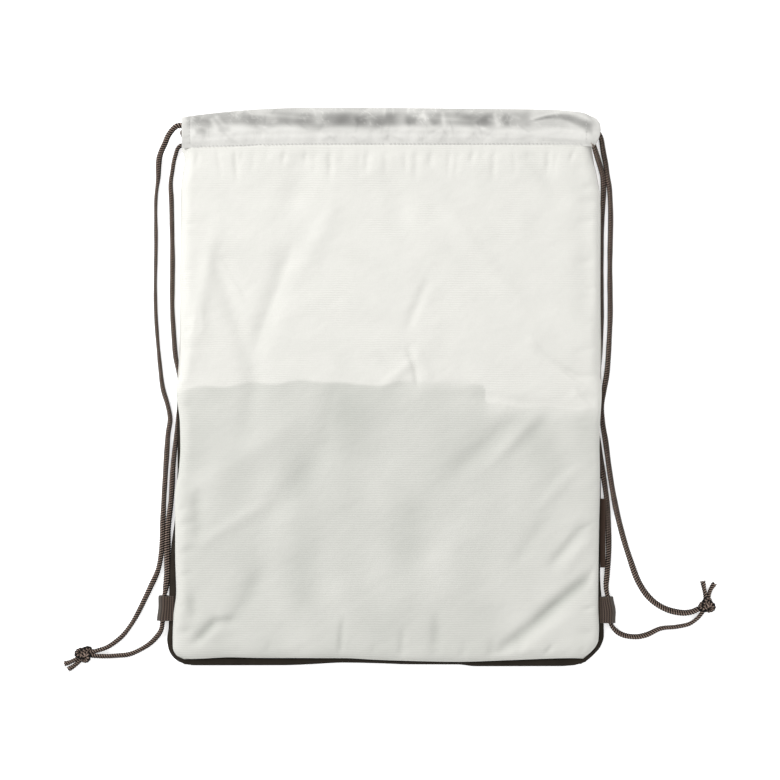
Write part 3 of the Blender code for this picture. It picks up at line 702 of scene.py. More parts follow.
WHITE_LEFT = table([(-217.4, -162.2), (-214.2, -168.2), (-208.6, -171.0), (-202.2, -171.2), (-183.0, -170.6), (-163.8, -168.4), (-131.8, -169.2),
                    (-106.2, -169.2), (-87.0, -169.6), (-67.8, -166.4), (-48.6, -165.1), (-29.4, -165.4), (-10.2, -167.6), (-0.6, -168.6),
                    (10.6, -166.4), (37.8, -165.4), (90.6, -165.6), (143.4, -164.6), (162.6, -164.4), (172.2, -163.0), (181.8, -162.0),
                    (192.0, -164.2)])
WHITE_RIGHT = table([(-217.4, 157.1), (-211.8, 163.5), (-207.0, 167.3), (-202.2, 169.3), (-192.6, 169.8), (-173.4, 169.2), (-106.2, 170.0),
                     (-87.0, 170.5), (-67.8, 170.6), (-48.6, 170.2), (-29.4, 170.7), (-0.6, 172.1), (9.0, 171.1), (95.4, 171.0), (153.0, 171.1),
                     (162.6, 169.5), (172.2, 168.0), (178.6, 166.2), (192.0, 164.2)])
WHITE_FOOT = table([(-162.2, -217.4), (-149.3, -217.1), (-125.4, -216.0), (-101.4, -216.5), (-34.2, -216.7), (-5.4, -218.1), (57.0, -219.6),
                    (100.2, -218.2), (148.3, -216.7), (157.1, -217.0)])
REAR_LEFT = table([(-223.6, -163), (-217, -172), (-211, -175.2), (-203, -176.4), (-192, -175.1), (-160, -174.6), (-132, -173.4), (-104, -170),
                   (-60, -168), (0, -168.4), (20, -167), (100, -165.6), (155, -165.4), (170, -164), (180, -162.5), (192, -163)], SHIFT[1], SHIFT[0])
REAR_RIGHT = table([(-223.6, 155), (-217, 163), (-208, 170.2), (-200, 172.4), (-190, 172.2), (-150, 169.4), (-90, 170), (-40, 169), (0, 170.4),
                    (80, 169.6), (140, 169.8), (155, 169), (170, 166.4), (180, 162.4), (192, 161.6)], SHIFT[1], SHIFT[0])
REAR_FOOT = table([(-166, -222.0), (-149, -222.2), (-82, -222.1), (-63, -221.4), (-34, -220.0), (-5, -220.6), (19, -221.4), (57, -221.5), (71, -222.9),
                   (139, -222.8), (156, -221.6)])
CASE_TOP = table([(-164.5, 214.6), (-156, 215.9), (-131, 218.8), (-102, 221.2), (-60, 222.4), (0, 222.2), (60, 221.6), (128, 220.8), (150, 219.2),
                  (156, 218.2), (165, 213.6)], SHIFT[0], SHIFT[1])
CASE_FOOT = table([(-164.5, 190.0), (-156, 189.9), (-131, 190.4), (-102, 191.4), (-60, 192.0), (0, 192.0), (60, 192.0), (128, 192.0), (150, 191.6),
                   (156, 191.4), (165, 191.2)], SHIFT[0], SHIFT[1])
SPLIT_Y = 1.2
TOP_Y = 196.0


def spaced(edge, step, total):
    """Distances from an edge: close together at the edge, then evenly spaced."""
    d = list(edge)
    n = int(round((total - d[-1]) / step))
    return np.array(d + list(np.linspace(d[-1], total, n + 1)[1:]))


EDGE = [0, 0.35, 0.8, 1.4, 2.2, 3.1, 4.2, 5.5, 7.0, 8.6]
STEP = 1.45

# ------------------------------------------------------------------ folds in the front cloth


def line_distance(x, y, a, b):
    ax, ay = a
    bx, by = b
    dx, dy = bx - ax, by - ay
    length = math.hypot(dx, dy)
    t = ((x - ax) * dx + (y - ay) * dy) / length
    d = ((x - ax) * dy - (y - ay) * dx) / length      # positive to the right of a -> b
    return t / length, d, length


def fold(x, y, a, b, width, depth, taper=0.25, bend=0.0):
    """A soft ridge (depth > 0) or valley along a to b, fading at its ends."""
    t, d, length = line_distance(x, y, a, b)
    d = d + bend * np.sin(np.clip(t, 0, 1) * math.pi)
    fade = smooth(-taper, taper, t) * smooth(-taper, taper, 1 - t)
    return 1.45 * depth * fade * np.exp(-((d / width) ** 2))


def step_fold(x, y, a, b, sharp, reach_, depth, taper=0.2, bend=0.0):
    """Cloth higher on one side of a line: a sharp side and a long fading side."""
    t, d, length = line_distance(x, y, a, b)
    d = d + bend * np.sin(np.clip(t, 0, 1) * math.pi)
    fade = smooth(-taper, taper, t) * smooth(-taper, taper, 1 - t)
    return 1.35 * depth * fade * np.tanh(d / sharp) * np.exp(-np.abs(d) / reach_)


BROAD = waves(11, 9, 60, 150)
MIDDLE = waves(23, 12, 22, 55, angle=1.1, spread=0.9)
SMALL = waves(31, 14, 7, 17)
FOOT_PUCKERS = [(-120, 10, 3.0, 0.30), (-96, 14, 3.4, 0.34), (-70, 12, 3.0, 0.3), (-37.5, 30, 2.8, 0.7), (-12, 12, 3.0, 0.3), (11, 24, 3.2, 0.6),
                (38, 34, 4.6, 0.7), (60, 13, 3.0, 0.35), (82, 16, 3.4, 0.5), (104, 14, 3.0, 0.4)]


def front_folds(x, y):
    z = 0.36 * BROAD(x, y) + 0.18 * MIDDLE(x, y) + 0.05 * SMALL(x, y)
    # upper left: two valleys that run together, and a ridge beside them
    z += fold(x, y, (-138, 112), (-107, 12), 7, -1.1)
    z += fold(x, y, (-158, 84), (-146, 40), 7, 0.8)
    z += fold(x, y, (-78, 106), (-105, 26), 8, -1.2)
    z += step_fold(x, y, (-104, 30), (-74, 108), 3.0, 14, 0.4)
    z += fold(x, y, (-104, 20), (-112, -34), 8, -0.7, 0.4)
    z += fold(x, y, (-137, 126), (-157, 22), 6, 0.9)
    z += step_fold(x, y, (-132, 101), (-114, 72), 1.5, 10, 0.55)
    z += fold(x, y, (-63, 190), (-76, 142), 11, -1.0, 0.3)
    z += fold(x, y, (-40, 150), (-66, 96), 8, 0.7)
    # upper right: a long edge that turns into a crease
    z += step_fold(x, y, (42, 141), (119, 38), 7.0, 26, 0.55, 0.25, 4)
    z += fold(x, y, (48, 142), (124, 42), 7, 0.8)
    z += step_fold(x, y, (118, 36), (168, -5), 1.3, 12, 0.5, 0.15, -3)
    z += fold(x, y, (118, 31), (157, 6), 3.2, -0.75, 0.15, -2)
    z += fold(x, y, (112, 40), (122, 31), 4.5, 0.35, 0.4)
    z += fold(x, y, (17, 29), (24.5, 2), 2.2, -0.8, 0.2, 1.5)
    z += fold(x, y, (23, 30), (34, 8), 4.5, 0.7, 0.25)
    z += fold(x, y, (32, 84), (17, 48), 4, -0.7)
    z += fold(x, y, (-6, 24), (20, -3), 4.5, -0.6)
    z += fold(x, y, (-4, -1), (22, 22), 4.5, 0.55)
    z += fold(x, y, (112, 190), (139, 150), 7, -0.9)
    z += fold(x, y, (160, 150), (160, 60), 9, -0.7)
    z += fold(x, y, (2, 175), (14, 128), 9, -0.7)
    # middle
    z += step_fold(x, y, (-38, 2), (-44, -46), 4.5, 18, -0.45, 0.3, -3)
    z += fold(x, y, (54, -68), (108, -20), 7.5, -0.9)
    z += fold(x, y, (98, -56), (131, -20), 7, -0.6)
    z += fold(x, y, (82, -62), (120, -24), 5, 0.6)
    z += fold(x, y, (-30, 2), (-62, -72), 13, -0.9)
    z += fold(x, y, (-58, -64), (-99, -107), 11, -0.9)
    z += fold(x, y, (-147, -124), (-97, -92), 5.5, 0.6)
    z += fold(x, y, (-151, -84), (-150, -121), 5.5, -1.1)
    z += fold(x, y, (-98, -148), (-126, -187), 8, -1.1)
    z += fold(x, y, (-146, -78), (-70, -26), 12, 0.8)
    z += fold(x, y, (122, -95), (152, -64), 5, 0.6)
    z += step_fold(x, y, (151, -2), (164, -16), 1.2, 8, 0.5)
    z += fold(x, y, (60, -6), (148, -17), 5, -0.5)
    z += fold(x, y, (70, -110), (-10, -190), 16, 0.5)
    # lower right: the strong dark diagonal and the bright ridge beside it
    z += fold(x, y, (90, -211), (133, -177), 5.2, -1.7, 0.3)
    z += fold(x, y, (126, -181), (163, -151), 5.0, -1.7, 0.3)
    z += fold(x, y, (101, -219), (148, -180), 7.0, 0.8, 0.3)
    z += fold(x, y, (132, -141), (156, -113), 4.2, -0.9)
    z += fold(x, y, (140, -146), (163, -119), 5.0, 0.6)
    z += fold(x, y, (103, -139), (128, -105), 6, -0.6)
    # lower left corner
    z += fold(x, y, (-153, -204), (-137, -187), 4.2, -1.5, 0.3)
    z += fold(x, y, (-138, -188), (-121, -186), 4.0, -1.2, 0.3)
    z += fold(x, y, (-155.5, -168), (-152.5, -184), 4.0, -1.0, 0.35)
    z += fold(x, y, (-146, -206), (-112, -163), 7, 0.6)
    z += fold(x, y, (124, -219), (131, -207), 2.6, -0.9, 0.3)
    z += fold(x, y, (141, -218), (144, -211), 2.2, -0.7, 0.3)
    z += fold(x, y, (154, -219), (157, -208), 2.2, -0.7, 0.3)
    # puckers along the foot seam, and under the casing's stitching
    for px, length, width, depth in FOOT_PUCKERS:
        z += fold(x, y, (px, -222), (px + 2.2, -218 + length), width, -depth, 0.3)
    rng = np.random.default_rng(77)
    px = -160.0
    while px < 166:
        length = 7 + rng.random() * 17
        lean = rng.normal() * 2.5
        z += fold(x, y, (px, 195), (px + lean, 191 - length), 1.7 + rng.random() * 1.4, -(0.22 + 0.5 * rng.random()), 0.3)
        px += 6.5 + rng.random() * 9.5
    # puckers at the side seams
    for side in (-1, 1):
        py = -196.0
        while py < 176:
            reach_ = 6 + rng.random() * 13
            z += fold(x, y, (side * 172, py), (side * (170 - reach_), py + rng.normal() * 4), 2.0 + rng.random() * 2.0, -(0.2 + 0.45 * rng.random()), 0.3)
            py += 9 + rng.random() * 17
    return z


def edge_distance(x, y, left, right, foot, soft=2.6):
    d = np.stack([x - left, right - x, y - foot])
    return np.maximum(-soft * np.log(np.exp(-np.clip(d, 0, 120) / soft).sum(0)), 0)


SEE_EDGE = table([(-175, -4.5), (-168.6, -3.4), (-149.3, -0.6), (-109.4, 2.6), (-53.4, 4.6), (-33.4, 3.4), (-5.4, 1.2), (10.7, 5.0), (42.6, 3.4),
                  (77.4, 1.8), (79.8, -12.4), (106.7, -15.0), (138.7, -16.6), (175, -18.2)])


def front_tone(x, y, d, folds):
    """How much of what lies behind the thin cloth shows through it, plus painted shade along the fold valleys."""
    below = smooth(1.6, -1.6, y - SEE_EDGE(x) - 1.2 * np.sin(x / 6.3) * smooth(40, 90, np.abs(x - 20)))
    soft = smooth(-20, 60, x) * (1 - smooth(60, 76, x))
    below = below * (1 - soft) + smooth(9, -9, y - 2) * soft
    partial = smooth(74, 86, x) * smooth(-30, -14, y)
    blotch = waves(5, 10, 30, 90)(x, y)
    tone = below * (0.50 + 0.10 * blotch)
    tone = tone * (1 - 0.65 * partial)
    tone += 0.22 * below * np.exp(-((x + 28) / 18) ** 2 - ((y + 24) / 26) ** 2)
    tone += 0.14 * below * smooth(-204, -216, y)
    tone += 0.05 * np.clip(waves(8, 8, 25, 70)(x, y), -1, 1) * (1 - below)
    # the seam allowance folded in behind the edges is paler than the middle
    tone -= 0.18 * below * np.exp(-((d - 4) / 4.0) ** 2)
    tone -= 0.20 * below * smooth(30, 130, x) * smooth(-50, -150, y)
    # painted shade in the fold valleys: darker where the cloth lies low; in the lower half this is partly the brown
    # behind showing through more
    named = folds - 0.36 * BROAD(x, y)
    tone += np.clip(-named, -0.7, 3.0) * (0.105 * below + 0.04 * (1 - below)) * smooth(2, 10, d)
    # painted shade along the deepest creases
    for a, b, w, k in (((99, -205), (131, -177), 4.6, 0.30), ((129, -178), (161, -152), 4.6, 0.30), ((131, -139), (160, -105), 6.0, 0.10),
                       ((-150, -201), (-138, -188), 2.4, 0.25), ((118, 31), (156, 7), 2.4, 0.07), ((17, 29), (24, 2), 2.2, 0.07),
                       ((-36.0, -184), (-38.4, -205), 2.2, 0.10), ((36.4, -180), (39.5, -205), 4.4, 0.10)):
        t, dd, _ = line_distance(x, y, a, b)
        tone += k * smooth(-0.12, 0.2, t) * smooth(-0.12, 0.2, 1 - t) * np.exp(-(dd / w) ** 2)
    return np.clip(tone, 0, 1)


def front_grid():
    half = spaced(EDGE, STEP, 170.0)
    rows = spaced(EDGE, STEP, TOP_Y + 217.4)
    base = -217.4 + rows
    ny = len(base)
    left, right = WHITE_LEFT(base), WHITE_RIGHT(base)
    share = 1 - half / 170.0
    xs = np.concatenate([-share, share[::-1][1:]])
    x = np.where(xs[None, :] < 0, -left[:, None] * xs[None, :], right[:, None] * xs[None, :])
    lift = WHITE_FOOT(np.clip(x, -162.2, 157.1)) + 217.4
    y = base[:, None] + lift * np.exp(-(base[:, None] + 217.4) / 12.0)
    l2, r2 = WHITE_LEFT(y), WHITE_RIGHT(y)
    foot = WHITE_FOOT(np.clip(x, -162.2, 157.1))
    d = edge_distance(x, y, l2, r2, foot)
    low = 1 - smooth(SPLIT_Y - 14, SPLIT_Y + 10, y)
    edge_z = 5.4 + 2.7 * low
    top = 13.4 + 0.85 * smooth(148, 186, y) - 2.6 * smooth(0.8, 4.0, y - CASE_FOOT(x))
    radius = 9.5
    rise = np.sqrt(np.clip(1 - (1 - np.clip(d / radius, 0, 1)) ** 2, 0, 1))
    z = edge_z + (top - edge_z) * rise
    folds = front_folds(x, y)
    z = z + folds * smooth(1.0, 9.0, d) * (1 - 0.85 * smooth(183, 190, y))
    z = np.minimum(z, 15.6)
    v = np.stack([x, y, z], -1)
    n = grid_normals(v)
    if n[..., 2].mean() < 0:
        n = -n
    return v, n, front_tone(x, y, d, folds)


v, n, tone = front_grid()
mid = v.shape[1] // 2
front_l = gathers(finish_piece(shell("front cloth left", v[:, : mid + 1], n[:, : mid + 1], 0.75, tone[:, : mid + 1]), WHITE, "white_polyester",
                               "front_panel", "left_side_seam", "bottom_seam"))
front_r = gathers(finish_piece(shell("front cloth right", v[:, mid:], n[:, mid:], 0.75, tone[:, mid:]), WHITE, "white_polyester",
                               "front_panel", "right_side_seam", "bottom_seam"))

# ------------------------------------------------------------------ the rear cloths


def rear_grid(low_y, high_y, foot_edge, edge_z, step):
    half = spaced(EDGE, step, 170.0)
    if foot_edge:
        rows = low_y + spaced(EDGE, step, high_y - low_y)
    else:
        rows = np.linspace(low_y, high_y, int((high_y - low_y) / step) + 1)
    share = 1 - half / 170.0
    xs = np.concatenate([-share, share[::-1][1:]])
    left, right = REAR_LEFT(rows), REAR_RIGHT(rows)
    x = np.where(xs[None, :] < 0, -left[:, None] * xs[None, :], right[:, None] * xs[None, :])
    y = np.broadcast_to(rows[:, None], x.shape).copy()
    foot = REAR_FOOT(x) if foot_edge else np.full_like(x, -1e3)
    if foot_edge:
        y = y + (foot - low_y) * np.exp(-(y - low_y) / 12.0)
    d = edge_distance(x, y, REAR_LEFT(y), REAR_RIGHT(y), foot)
    lift = 1 - np.sqrt(np.clip(1 - (1 - np.clip(d / 8.0, 0, 1)) ** 2, 0, 1))
    z = 0.75 + (edge_z - 0.75) * lift
    wave = 0.10 * waves(41, 9, 14, 50)(x, y) * smooth(2, 12, d)
    z = np.maximum(z + np.abs(wave), 0.72)
    v = np.stack([x, y, z], -1)
    n = grid_normals(v)
    if n[..., 2].mean() < 0:
        n = -n
    return v, n, d


v, n, d = rear_grid(SPLIT_Y + 0.6135 + 0.2, 191.4, False, 4.9, 2.4)
mid = v.shape[1] // 2
tone = 0.06 + 0.05 * waves(6, 8, 20, 60)(v[..., 0], v[..., 1])
rear_ul = gathers(finish_piece(shell("rear upper cloth left", v[:, : mid + 1], n[:, : mid + 1], 0.7, tone[:, : mid + 1]), WHITE, "white_polyester",
                               "rear_upper_panel"))
rear_ur = gathers(finish_piece(shell("rear upper cloth right", v[:, mid:], n[:, mid:], 0.7, tone[:, mid:]), WHITE, "white_polyester",
                               "rear_upper_panel"))

v, n, d = rear_grid(-223.6 + SHIFT[1], SPLIT_Y + 0.6135 - 0.2, True, 4.6, 2.0)
mid = v.shape[1] // 2
tone = 0.25 + 0.15 * waves(7, 8, 20, 60)(v[..., 0], v[..., 1])


def border_strip(line, side):
    """The brown cloth turned up round the edge to where the white cloth is sewn over it."""
    pts = line.copy()
    # outward direction of the outline
    tan = np.gradient(pts[:, :2], axis=0)
    tan /= np.linalg.norm(tan, axis=1, keepdims=True)
    out = np.stack([tan[:, 1], -tan[:, 0]], 1)
    centre = np.array([0, -100.0])
    flip = np.sign(((pts[:, :2] - centre) * out).sum(1).mean())
    out *= flip
    wy = np.linspace(-216.4, SPLIT_Y, 260)
    wl = np.stack([WHITE_LEFT(wy), wy], 1)[::-1]
    wx = np.linspace(-161.5, 156.5, 260)
    wf = np.stack([wx, WHITE_FOOT(wx)], 1)
    wr = np.stack([WHITE_RIGHT(wy), wy], 1)
    white = np.vstack([wl, wf, wr])
    near = white[np.argmin(((pts[:, None, :2] - white[None]) ** 2).sum(2), axis=1)]
    k = np.ones(9) / 9
    pad = np.vstack([np.repeat(near[:1], 4, 0), near, np.repeat(near[-1:], 4, 0)])
    near = np.stack([np.convolve(pad[:, i], k, "valid") for i in range(2)], 1)
    gap = ((pts[:, :2] - near) * out).sum(1)
    target = near - out * 1.5
    cols = 13
    v = np.zeros((len(pts), cols, 3))
    for j in range(cols):
        ph = j / (cols - 1)
        ease = 1 - math.cos(ph * math.pi / 2)
        v[:, j, :2] = pts[:, :2] * (1 - ease) + target * ease
        v[:, j, 2] = pts[:, 2] + (7.0 - pts[:, 2]) * math.sin(ph * math.pi / 2)
    s = np.concatenate([[0], np.cumsum(np.linalg.norm(np.diff(pts[:, :2], axis=0), axis=1))])
    ripple = 0.22 * np.sin(s / 3.1) * np.sin(s / 17.0 + 1) + 0.16 * np.sin(s / 1.9 + 2 * np.sin(s / 11.0))
    v[:, :, 2] += ripple[:, None] * np.sin(np.linspace(0, math.pi, cols))[None, :]
    v[:, :, :2] += (out * ripple[:, None])[:, None, :] * 0.6 * np.sin(np.linspace(0, math.pi, cols))[None, :, None]
    # painted shadow: the strip turns near black where it runs into the gap under the white cloth's edge
    left_over = np.maximum(np.abs(gap), 0.5)[:, None] + 1.5
    ease = 1 - np.cos(np.linspace(0, 1, cols) * math.pi / 2)[None, :]
    tone = smooth(0.9, 0.2, (1 - ease) * left_over - 1.5)
    tone = np.clip(tone + 0.12 * np.sin(s / 4.7)[:, None] * np.sin(s / 13.0)[:, None], 0, 1)
    return v, tone, gap


def brown_half(name, v, n, tone, side):
    body = shell(name, v, n, 0.7, tone)
    if side == "left":
        line = np.vstack([v[::-1, 0], v[0, 1:]])
    else:
        line = np.vstack([v[0, :], v[1:, -1]])
    # resample the outline finely so that the border is smooth
    s = np.concatenate([[0], np.cumsum(np.linalg.norm(np.diff(line, axis=0), axis=1))])
    even = np.linspace(0, s[-1], int(s[-1] / 0.9))
    line = np.stack([np.interp(even, s, line[:, k]) for k in range(3)], 1)
    if side == "right":
        line[0, 0] = 0.0
    else:
        line[-1, 0] = 0.0
    bv, bt, _ = border_strip(line, side)
    if side == "right":
        bv[0, :, 0] = 0.0
    else:
        bv[-1, :, 0] = 0.0
    bn = grid_normals(bv)
    if bn[..., 2].mean() < 0:
        bn = -bn
    flip = np.cross(bv[1, 0] - bv[0, 0], bv[0, 1] - bv[0, 0])
    strip = shell(name + " border", bv, bn, 0.7, bt)
    bpy.ops.object.select_all(action="DESELECT")
    body.select_set(True)
    strip.select_set(True)
    bpy.context.view_layer.objects.active = body
    bpy.ops.object.join()
    return body


brown_l = gathers(finish_piece(brown_half("rear lower cloth left", v[:, : mid + 1], n[:, : mid + 1], tone[:, : mid + 1], "left"), BROWN,
                               "brown_polyester", "rear_lower_panel"))
brown_r = gathers(finish_piece(brown_half("rear lower cloth right", v[:, mid:], n[:, mid:], tone[:, mid:], "right"), BROWN,
                               "brown_polyester", "rear_lower_panel"))

# ------------------------------------------------------------------ the casings and their hems

END_BULGE = table([(190, 0.0), (193, 0.6), (197, 2.6), (201, 4.0), (206, 4.5), (209.5, 4.2), (213, 2.2), (217, 0.0)])
CASE_WAVES = waves(51, 14, 7, 26, angle=0.0, spread=0.35)
CASE_BROAD = waves(52, 8, 20, 60, angle=0.2, spread=0.5)


def crumple(x, y):
    """Sharp little crease lines where the thin cloth is crumpled over the cords: 1 on a line, 0 off it."""
    a = np.abs(waves(71, 10, 11, 26)(x, y * 1.4)) / 0.10
    b = np.abs(waves(72, 10, 9, 22)(x, y * 1.2)) / 0.08
    gate = smooth(0.0, 0.5, waves(73, 8, 16, 50)(x, y))
    return np.maximum(np.exp(-a * a), 0.8 * np.exp(-b * b)) * gate


def casing_grid(z_mid, cords, front, inset):
    left_x, right_x = -164.5 + SHIFT[0] + inset, 165.0 + SHIFT[0] - inset
    half = np.array([0, 0.3, 0.8, 1.5, 2.4, 3.5, 4.8, 6.2, 7.6] + list(np.arange(9.0, 163.5, 1.15)) + [163.5])
    share = 1 - half / 163.5
    xs = np.concatenate([share * left_x, (share * right_x)[::-1][1:]])
    xs[len(share) - 1] = 0.0
    th = np.linspace(0, 2 * math.pi, 72, endpoint=False)
    yt, yb = CASE_TOP(xs), CASE_FOOT(xs)
    s = 0.5 - 0.5 * np.cos(th)                         # 0 at the foot, 1 at the top fold
    y = yb[:, None] + (yt - yb)[:, None] * s[None, :]
    x = np.broadcast_to(xs[:, None], y.shape).copy()
    env = np.minimum(smooth(-0.02, 0.25, s), np.sqrt(np.clip(1 - (np.clip((s - 0.62) / 0.38, 0, 1)) ** 2, 0, 1)))[None, :]
    bulge = np.zeros_like(y)
    for path in cords:
        q = curve_through(np.array(path) + SHIFT, 2.0)
        if q[0, 0] > q[-1, 0]:
            q = q[::-1]
        yc = np.interp(xs, q[:, 0], q[:, 1])[:, None]
        bulge = np.maximum(bulge, np.exp(-((y - yc) / 4.6) ** 4))
    upper = (np.sin(th) > 0)[None, :]
    ripple = 0.30 * CASE_WAVES(x, y * 0.25) + 0.22 * CASE_BROAD(x, y) + 0.22 * crumple(x, y) - 0.05
    t = env * (1.75 + 0.85 * bulge + np.clip(ripple, -0.5, 0.2) * np.where(upper, 1, 0.4) * (1 - 0.6 * bulge))
    t = 0.42 + np.clip(t, 0, 2.32)
    # double-turned hems at both ends: thicker, with a step where they are sewn down
    end = np.minimum(xs - left_x, right_x - xs)[:, None]
    t = t - 0.30 * np.exp(-((end - 6.6) / 0.7) ** 2) * env
    nose = np.sqrt(np.clip(1 - (1 - np.clip(end / 1.3, 0, 1)) ** 2, 0, 1))
    t = np.maximum(t * (0.82 + 0.18 * nose), 0.3)
    t = np.minimum(t, 2.75)
    if front:
        x = x + END_BULGE(y) * smooth(148, 164, x) * 1.0
    z = z_mid + t * np.sign(np.sin(th))[None, :] * np.abs(np.sin(th))[None, :] ** 0.35
    v = np.stack([x, y, z], -1)
    n = grid_normals(v, wrap=True)
    c = np.stack([x, np.broadcast_to(((yt + yb) / 2)[:, None], x.shape), np.full_like(x, z_mid)], -1)
    if (n * (v - c)).sum(2).mean() < 0:
        v, x, y, s, t = v[:, ::-1], x[:, ::-1], y[:, ::-1], s[::-1], t[:, ::-1]
        n = grid_normals(v, wrap=True)
    return v, n, x, y, np.broadcast_to(s[None, :], x.shape), end


def casing_tone(x, y, s, end):
    """The thin double cloth is greyer where the cords lie behind it, towards the top fold; its wrinkles get painted
    light and shade.
    """
    line = 206.4 + 1.2 * np.sin(x / 23.0) + 0.8 * np.sin(x / 7.0)
    band = smooth(-2.4, 3.6, y - line)
    blot = waves(61, 12, 22, 70)(x, y * 1.6)
    blot2 = waves(62, 12, 9, 20)(x, y)
    body = band * (1 - 0.30 * smooth(217.6, 220.4, y))
    # paler along the crumple creases: a painted highlight on their raised crests
    tone = body * (0.48 + 0.10 * blot + 0.05 * blot2) - 0.20 * band * crumple(x, y)
    # painted light and shade of small wrinkles: thin streaks, mostly paler in the grey band and darker below it
    rng = np.random.default_rng(404)
    for _ in range(90):
        ax = -158 + 316 * rng.random()
        ay = 194 + 24 * rng.random()
        th = rng.normal() * 0.9 + (0.9 if rng.random() < 0.5 else 2.2)
        ln = 4 + 9 * rng.random()
        k = -(0.05 + 0.16 * rng.random()) if ay > 205 and rng.random() < 0.7 else 0.10
        t, dd, _ = line_distance(x, y, (ax, ay), (ax + ln * math.cos(th), ay + ln * math.sin(th)))
        tone = tone + k * smooth(-0.2, 0.2, t) * smooth(-0.2, 0.2, 1 - t) * np.exp(-(dd / (0.7 + 0.9 * rng.random())) ** 2)
    tone = tone + (1 - band) * (0.035 + 0.05 * blot + 0.03 * blot2)
    for cx, cy, rx, ry, k in ((-146.5, 213, 8, 3.5, 0.20), (-148.5, 203.4, 4, 2.6, 0.40), (-129, 205.4, 5, 2.2, 0.25), (-126, 213, 9, 4, 0.20),
                              (-107.5, 213.4, 10, 4.5, 0.20), (-82, 213.5, 6, 4, 0.14), (-66, 213.4, 9.5, 4.2, 0.30), (-39, 213.4, 13, 5, 0.34),
                              (-20.5, 212.6, 5.5, 4.5, 0.36), (-3.3, 213, 11, 5, 0.36), (19.4, 213, 5, 4.5, 0.32), (37.8, 212.5, 6, 4.5, 0.24),
                              (71.9, 213, 14, 5, 0.34), (94.7, 213.4, 3.4, 4.6, 0.32), (124, 205.6, 14, 3, -0.10)):
        tone += k * np.exp(-np.abs((x - cx) / rx) ** 4 - np.abs((y - cy) / ry) ** 3)
    # painted highlights along wrinkles in the grey band
    for a, b, w, k in (((-140, 214), (-132, 200), 2.2, -0.3), ((-136, 216), (-128, 206), 1.8, -0.25), 
                       ((28, 219), (36, 206), 2.6, -0.30), ((86, 218), (89, 207), 2.0, -0.25), ((44.5, 219), (46, 207), 1.8, -0.25),
                       ((-110, 218), (-60, 214), 1.6, -0.18), ((20, 216), (66, 212), 1.6, -0.16)):
        t, dd, _ = line_distance(x, y, a, b)
        tone += k * band * smooth(-0.1, 0.1, t) * smooth(-0.1, 0.1, 1 - t) * np.exp(-(dd / w) ** 2)
    # the fold that curves down round the right end, widening as it goes
    arc = np.interp(x, [112, 117, 129, 138.7, 146, 150.7, 157, 162.7], [211.8, 213, 216.4, 217.2, 216.4, 215.0, 212.4, 209.2])
    half = np.interp(x, [112, 125, 140, 152, 163], [0.8, 1.3, 2.3, 3.8, 4.6])
    on = smooth(112, 120, x) * (1 - smooth(162, 164.5, x))
    tone = tone * (1 - 0.45 * smooth(110, 118, x)) + on * 0.46 * np.exp(-np.abs((y - arc + 0.75 * half) / half) ** 3)
    tone = tone - 0.12 * on * np.exp(-(((y - arc - 0.55 * half - 0.8) / 1.2) ** 2))
    tone = tone * smooth(1.5, 6.5, np.asarray(end)) + 0.17 * (1 - smooth(5.0, 7.5, np.asarray(end)))
    return np.clip(tone, 0, 1)


def casing(name, z_mid, cords, front, nodes, inset=0.2):
    v, n, x, y, s, end = casing_grid(z_mid, cords, front, inset)
    tone = casing_tone(x, y, s, np.broadcast_to(end, x.shape))
    mid = int(np.argmin(np.abs(v[:, 0, 0])))
    made = []
    for side, sl in (("left", slice(0, mid + 1)), ("right", slice(mid, None))):
        o = shell(f"{name} {side}", v[sl], n[sl], 0.62, tone[sl], wrap=True)
        finish_piece(o, CASING, "casing_cloth", *[k for k in nodes if side in k or "hem" not in k])
        gathers(o)
        made.append(o)
    return made


front_case = casing("front casing", 13.8, [LEFT_FRONT, RIGHT_FRONT], True, ["front_casing", "front_left_hem", "front_right_hem"])
rear_case = casing("rear casing", 2.8, [LEFT_REAR, RIGHT_REAR], False, ["rear_casing", "rear_left_hem", "rear_right_hem"])

# ------------------------------------------------------------------ stitching


def surface_height(objects):
    """The height of the cloth's top at places in the plan, from its own mesh."""
    co = np.vstack([coords(o) for o in objects]) / MM
    co = co[co[:, 2] > 6.0]
    cell = 1.6
    key = {}
    for p in co:
        k = (int(p[0] // cell), int(p[1] // cell))
        if k not in key or key[k] < p[2]:
            key[k] = p[2]

    def f(x, y):
        best = None
        for dx in (-1, 0, 1):
            for dy in (-1, 0, 1):
                q = key.get((int(x // cell) + dx, int(y // cell) + dy))
                if q is not None and (best is None or q > best):
                    best = q
        return best if best is not None else 13.0

    return f


def stitch_row(rows, lines, height, length, gap, radius, sink=0.1):
    """Adds stitches along lines of plan points: each one a short padded bar of thread that dips into the cloth at its ends."""
    for line in lines:
        p = np.array(line, float)
        s = np.concatenate([[0], np.cumsum(np.linalg.norm(np.diff(p, axis=0), axis=1))])
        at_ = gap
        while at_ + length < s[-1]:
            a = np.array([np.interp(at_, s, p[:, k]) for k in range(2)])
            b = np.array([np.interp(at_ + length, s, p[:, k]) for k in range(2)])
            za, zb = height(*a), height(*b)
            z = max(za, zb) - sink
            rows.append((a, b, z, radius))
            at_ += length + gap


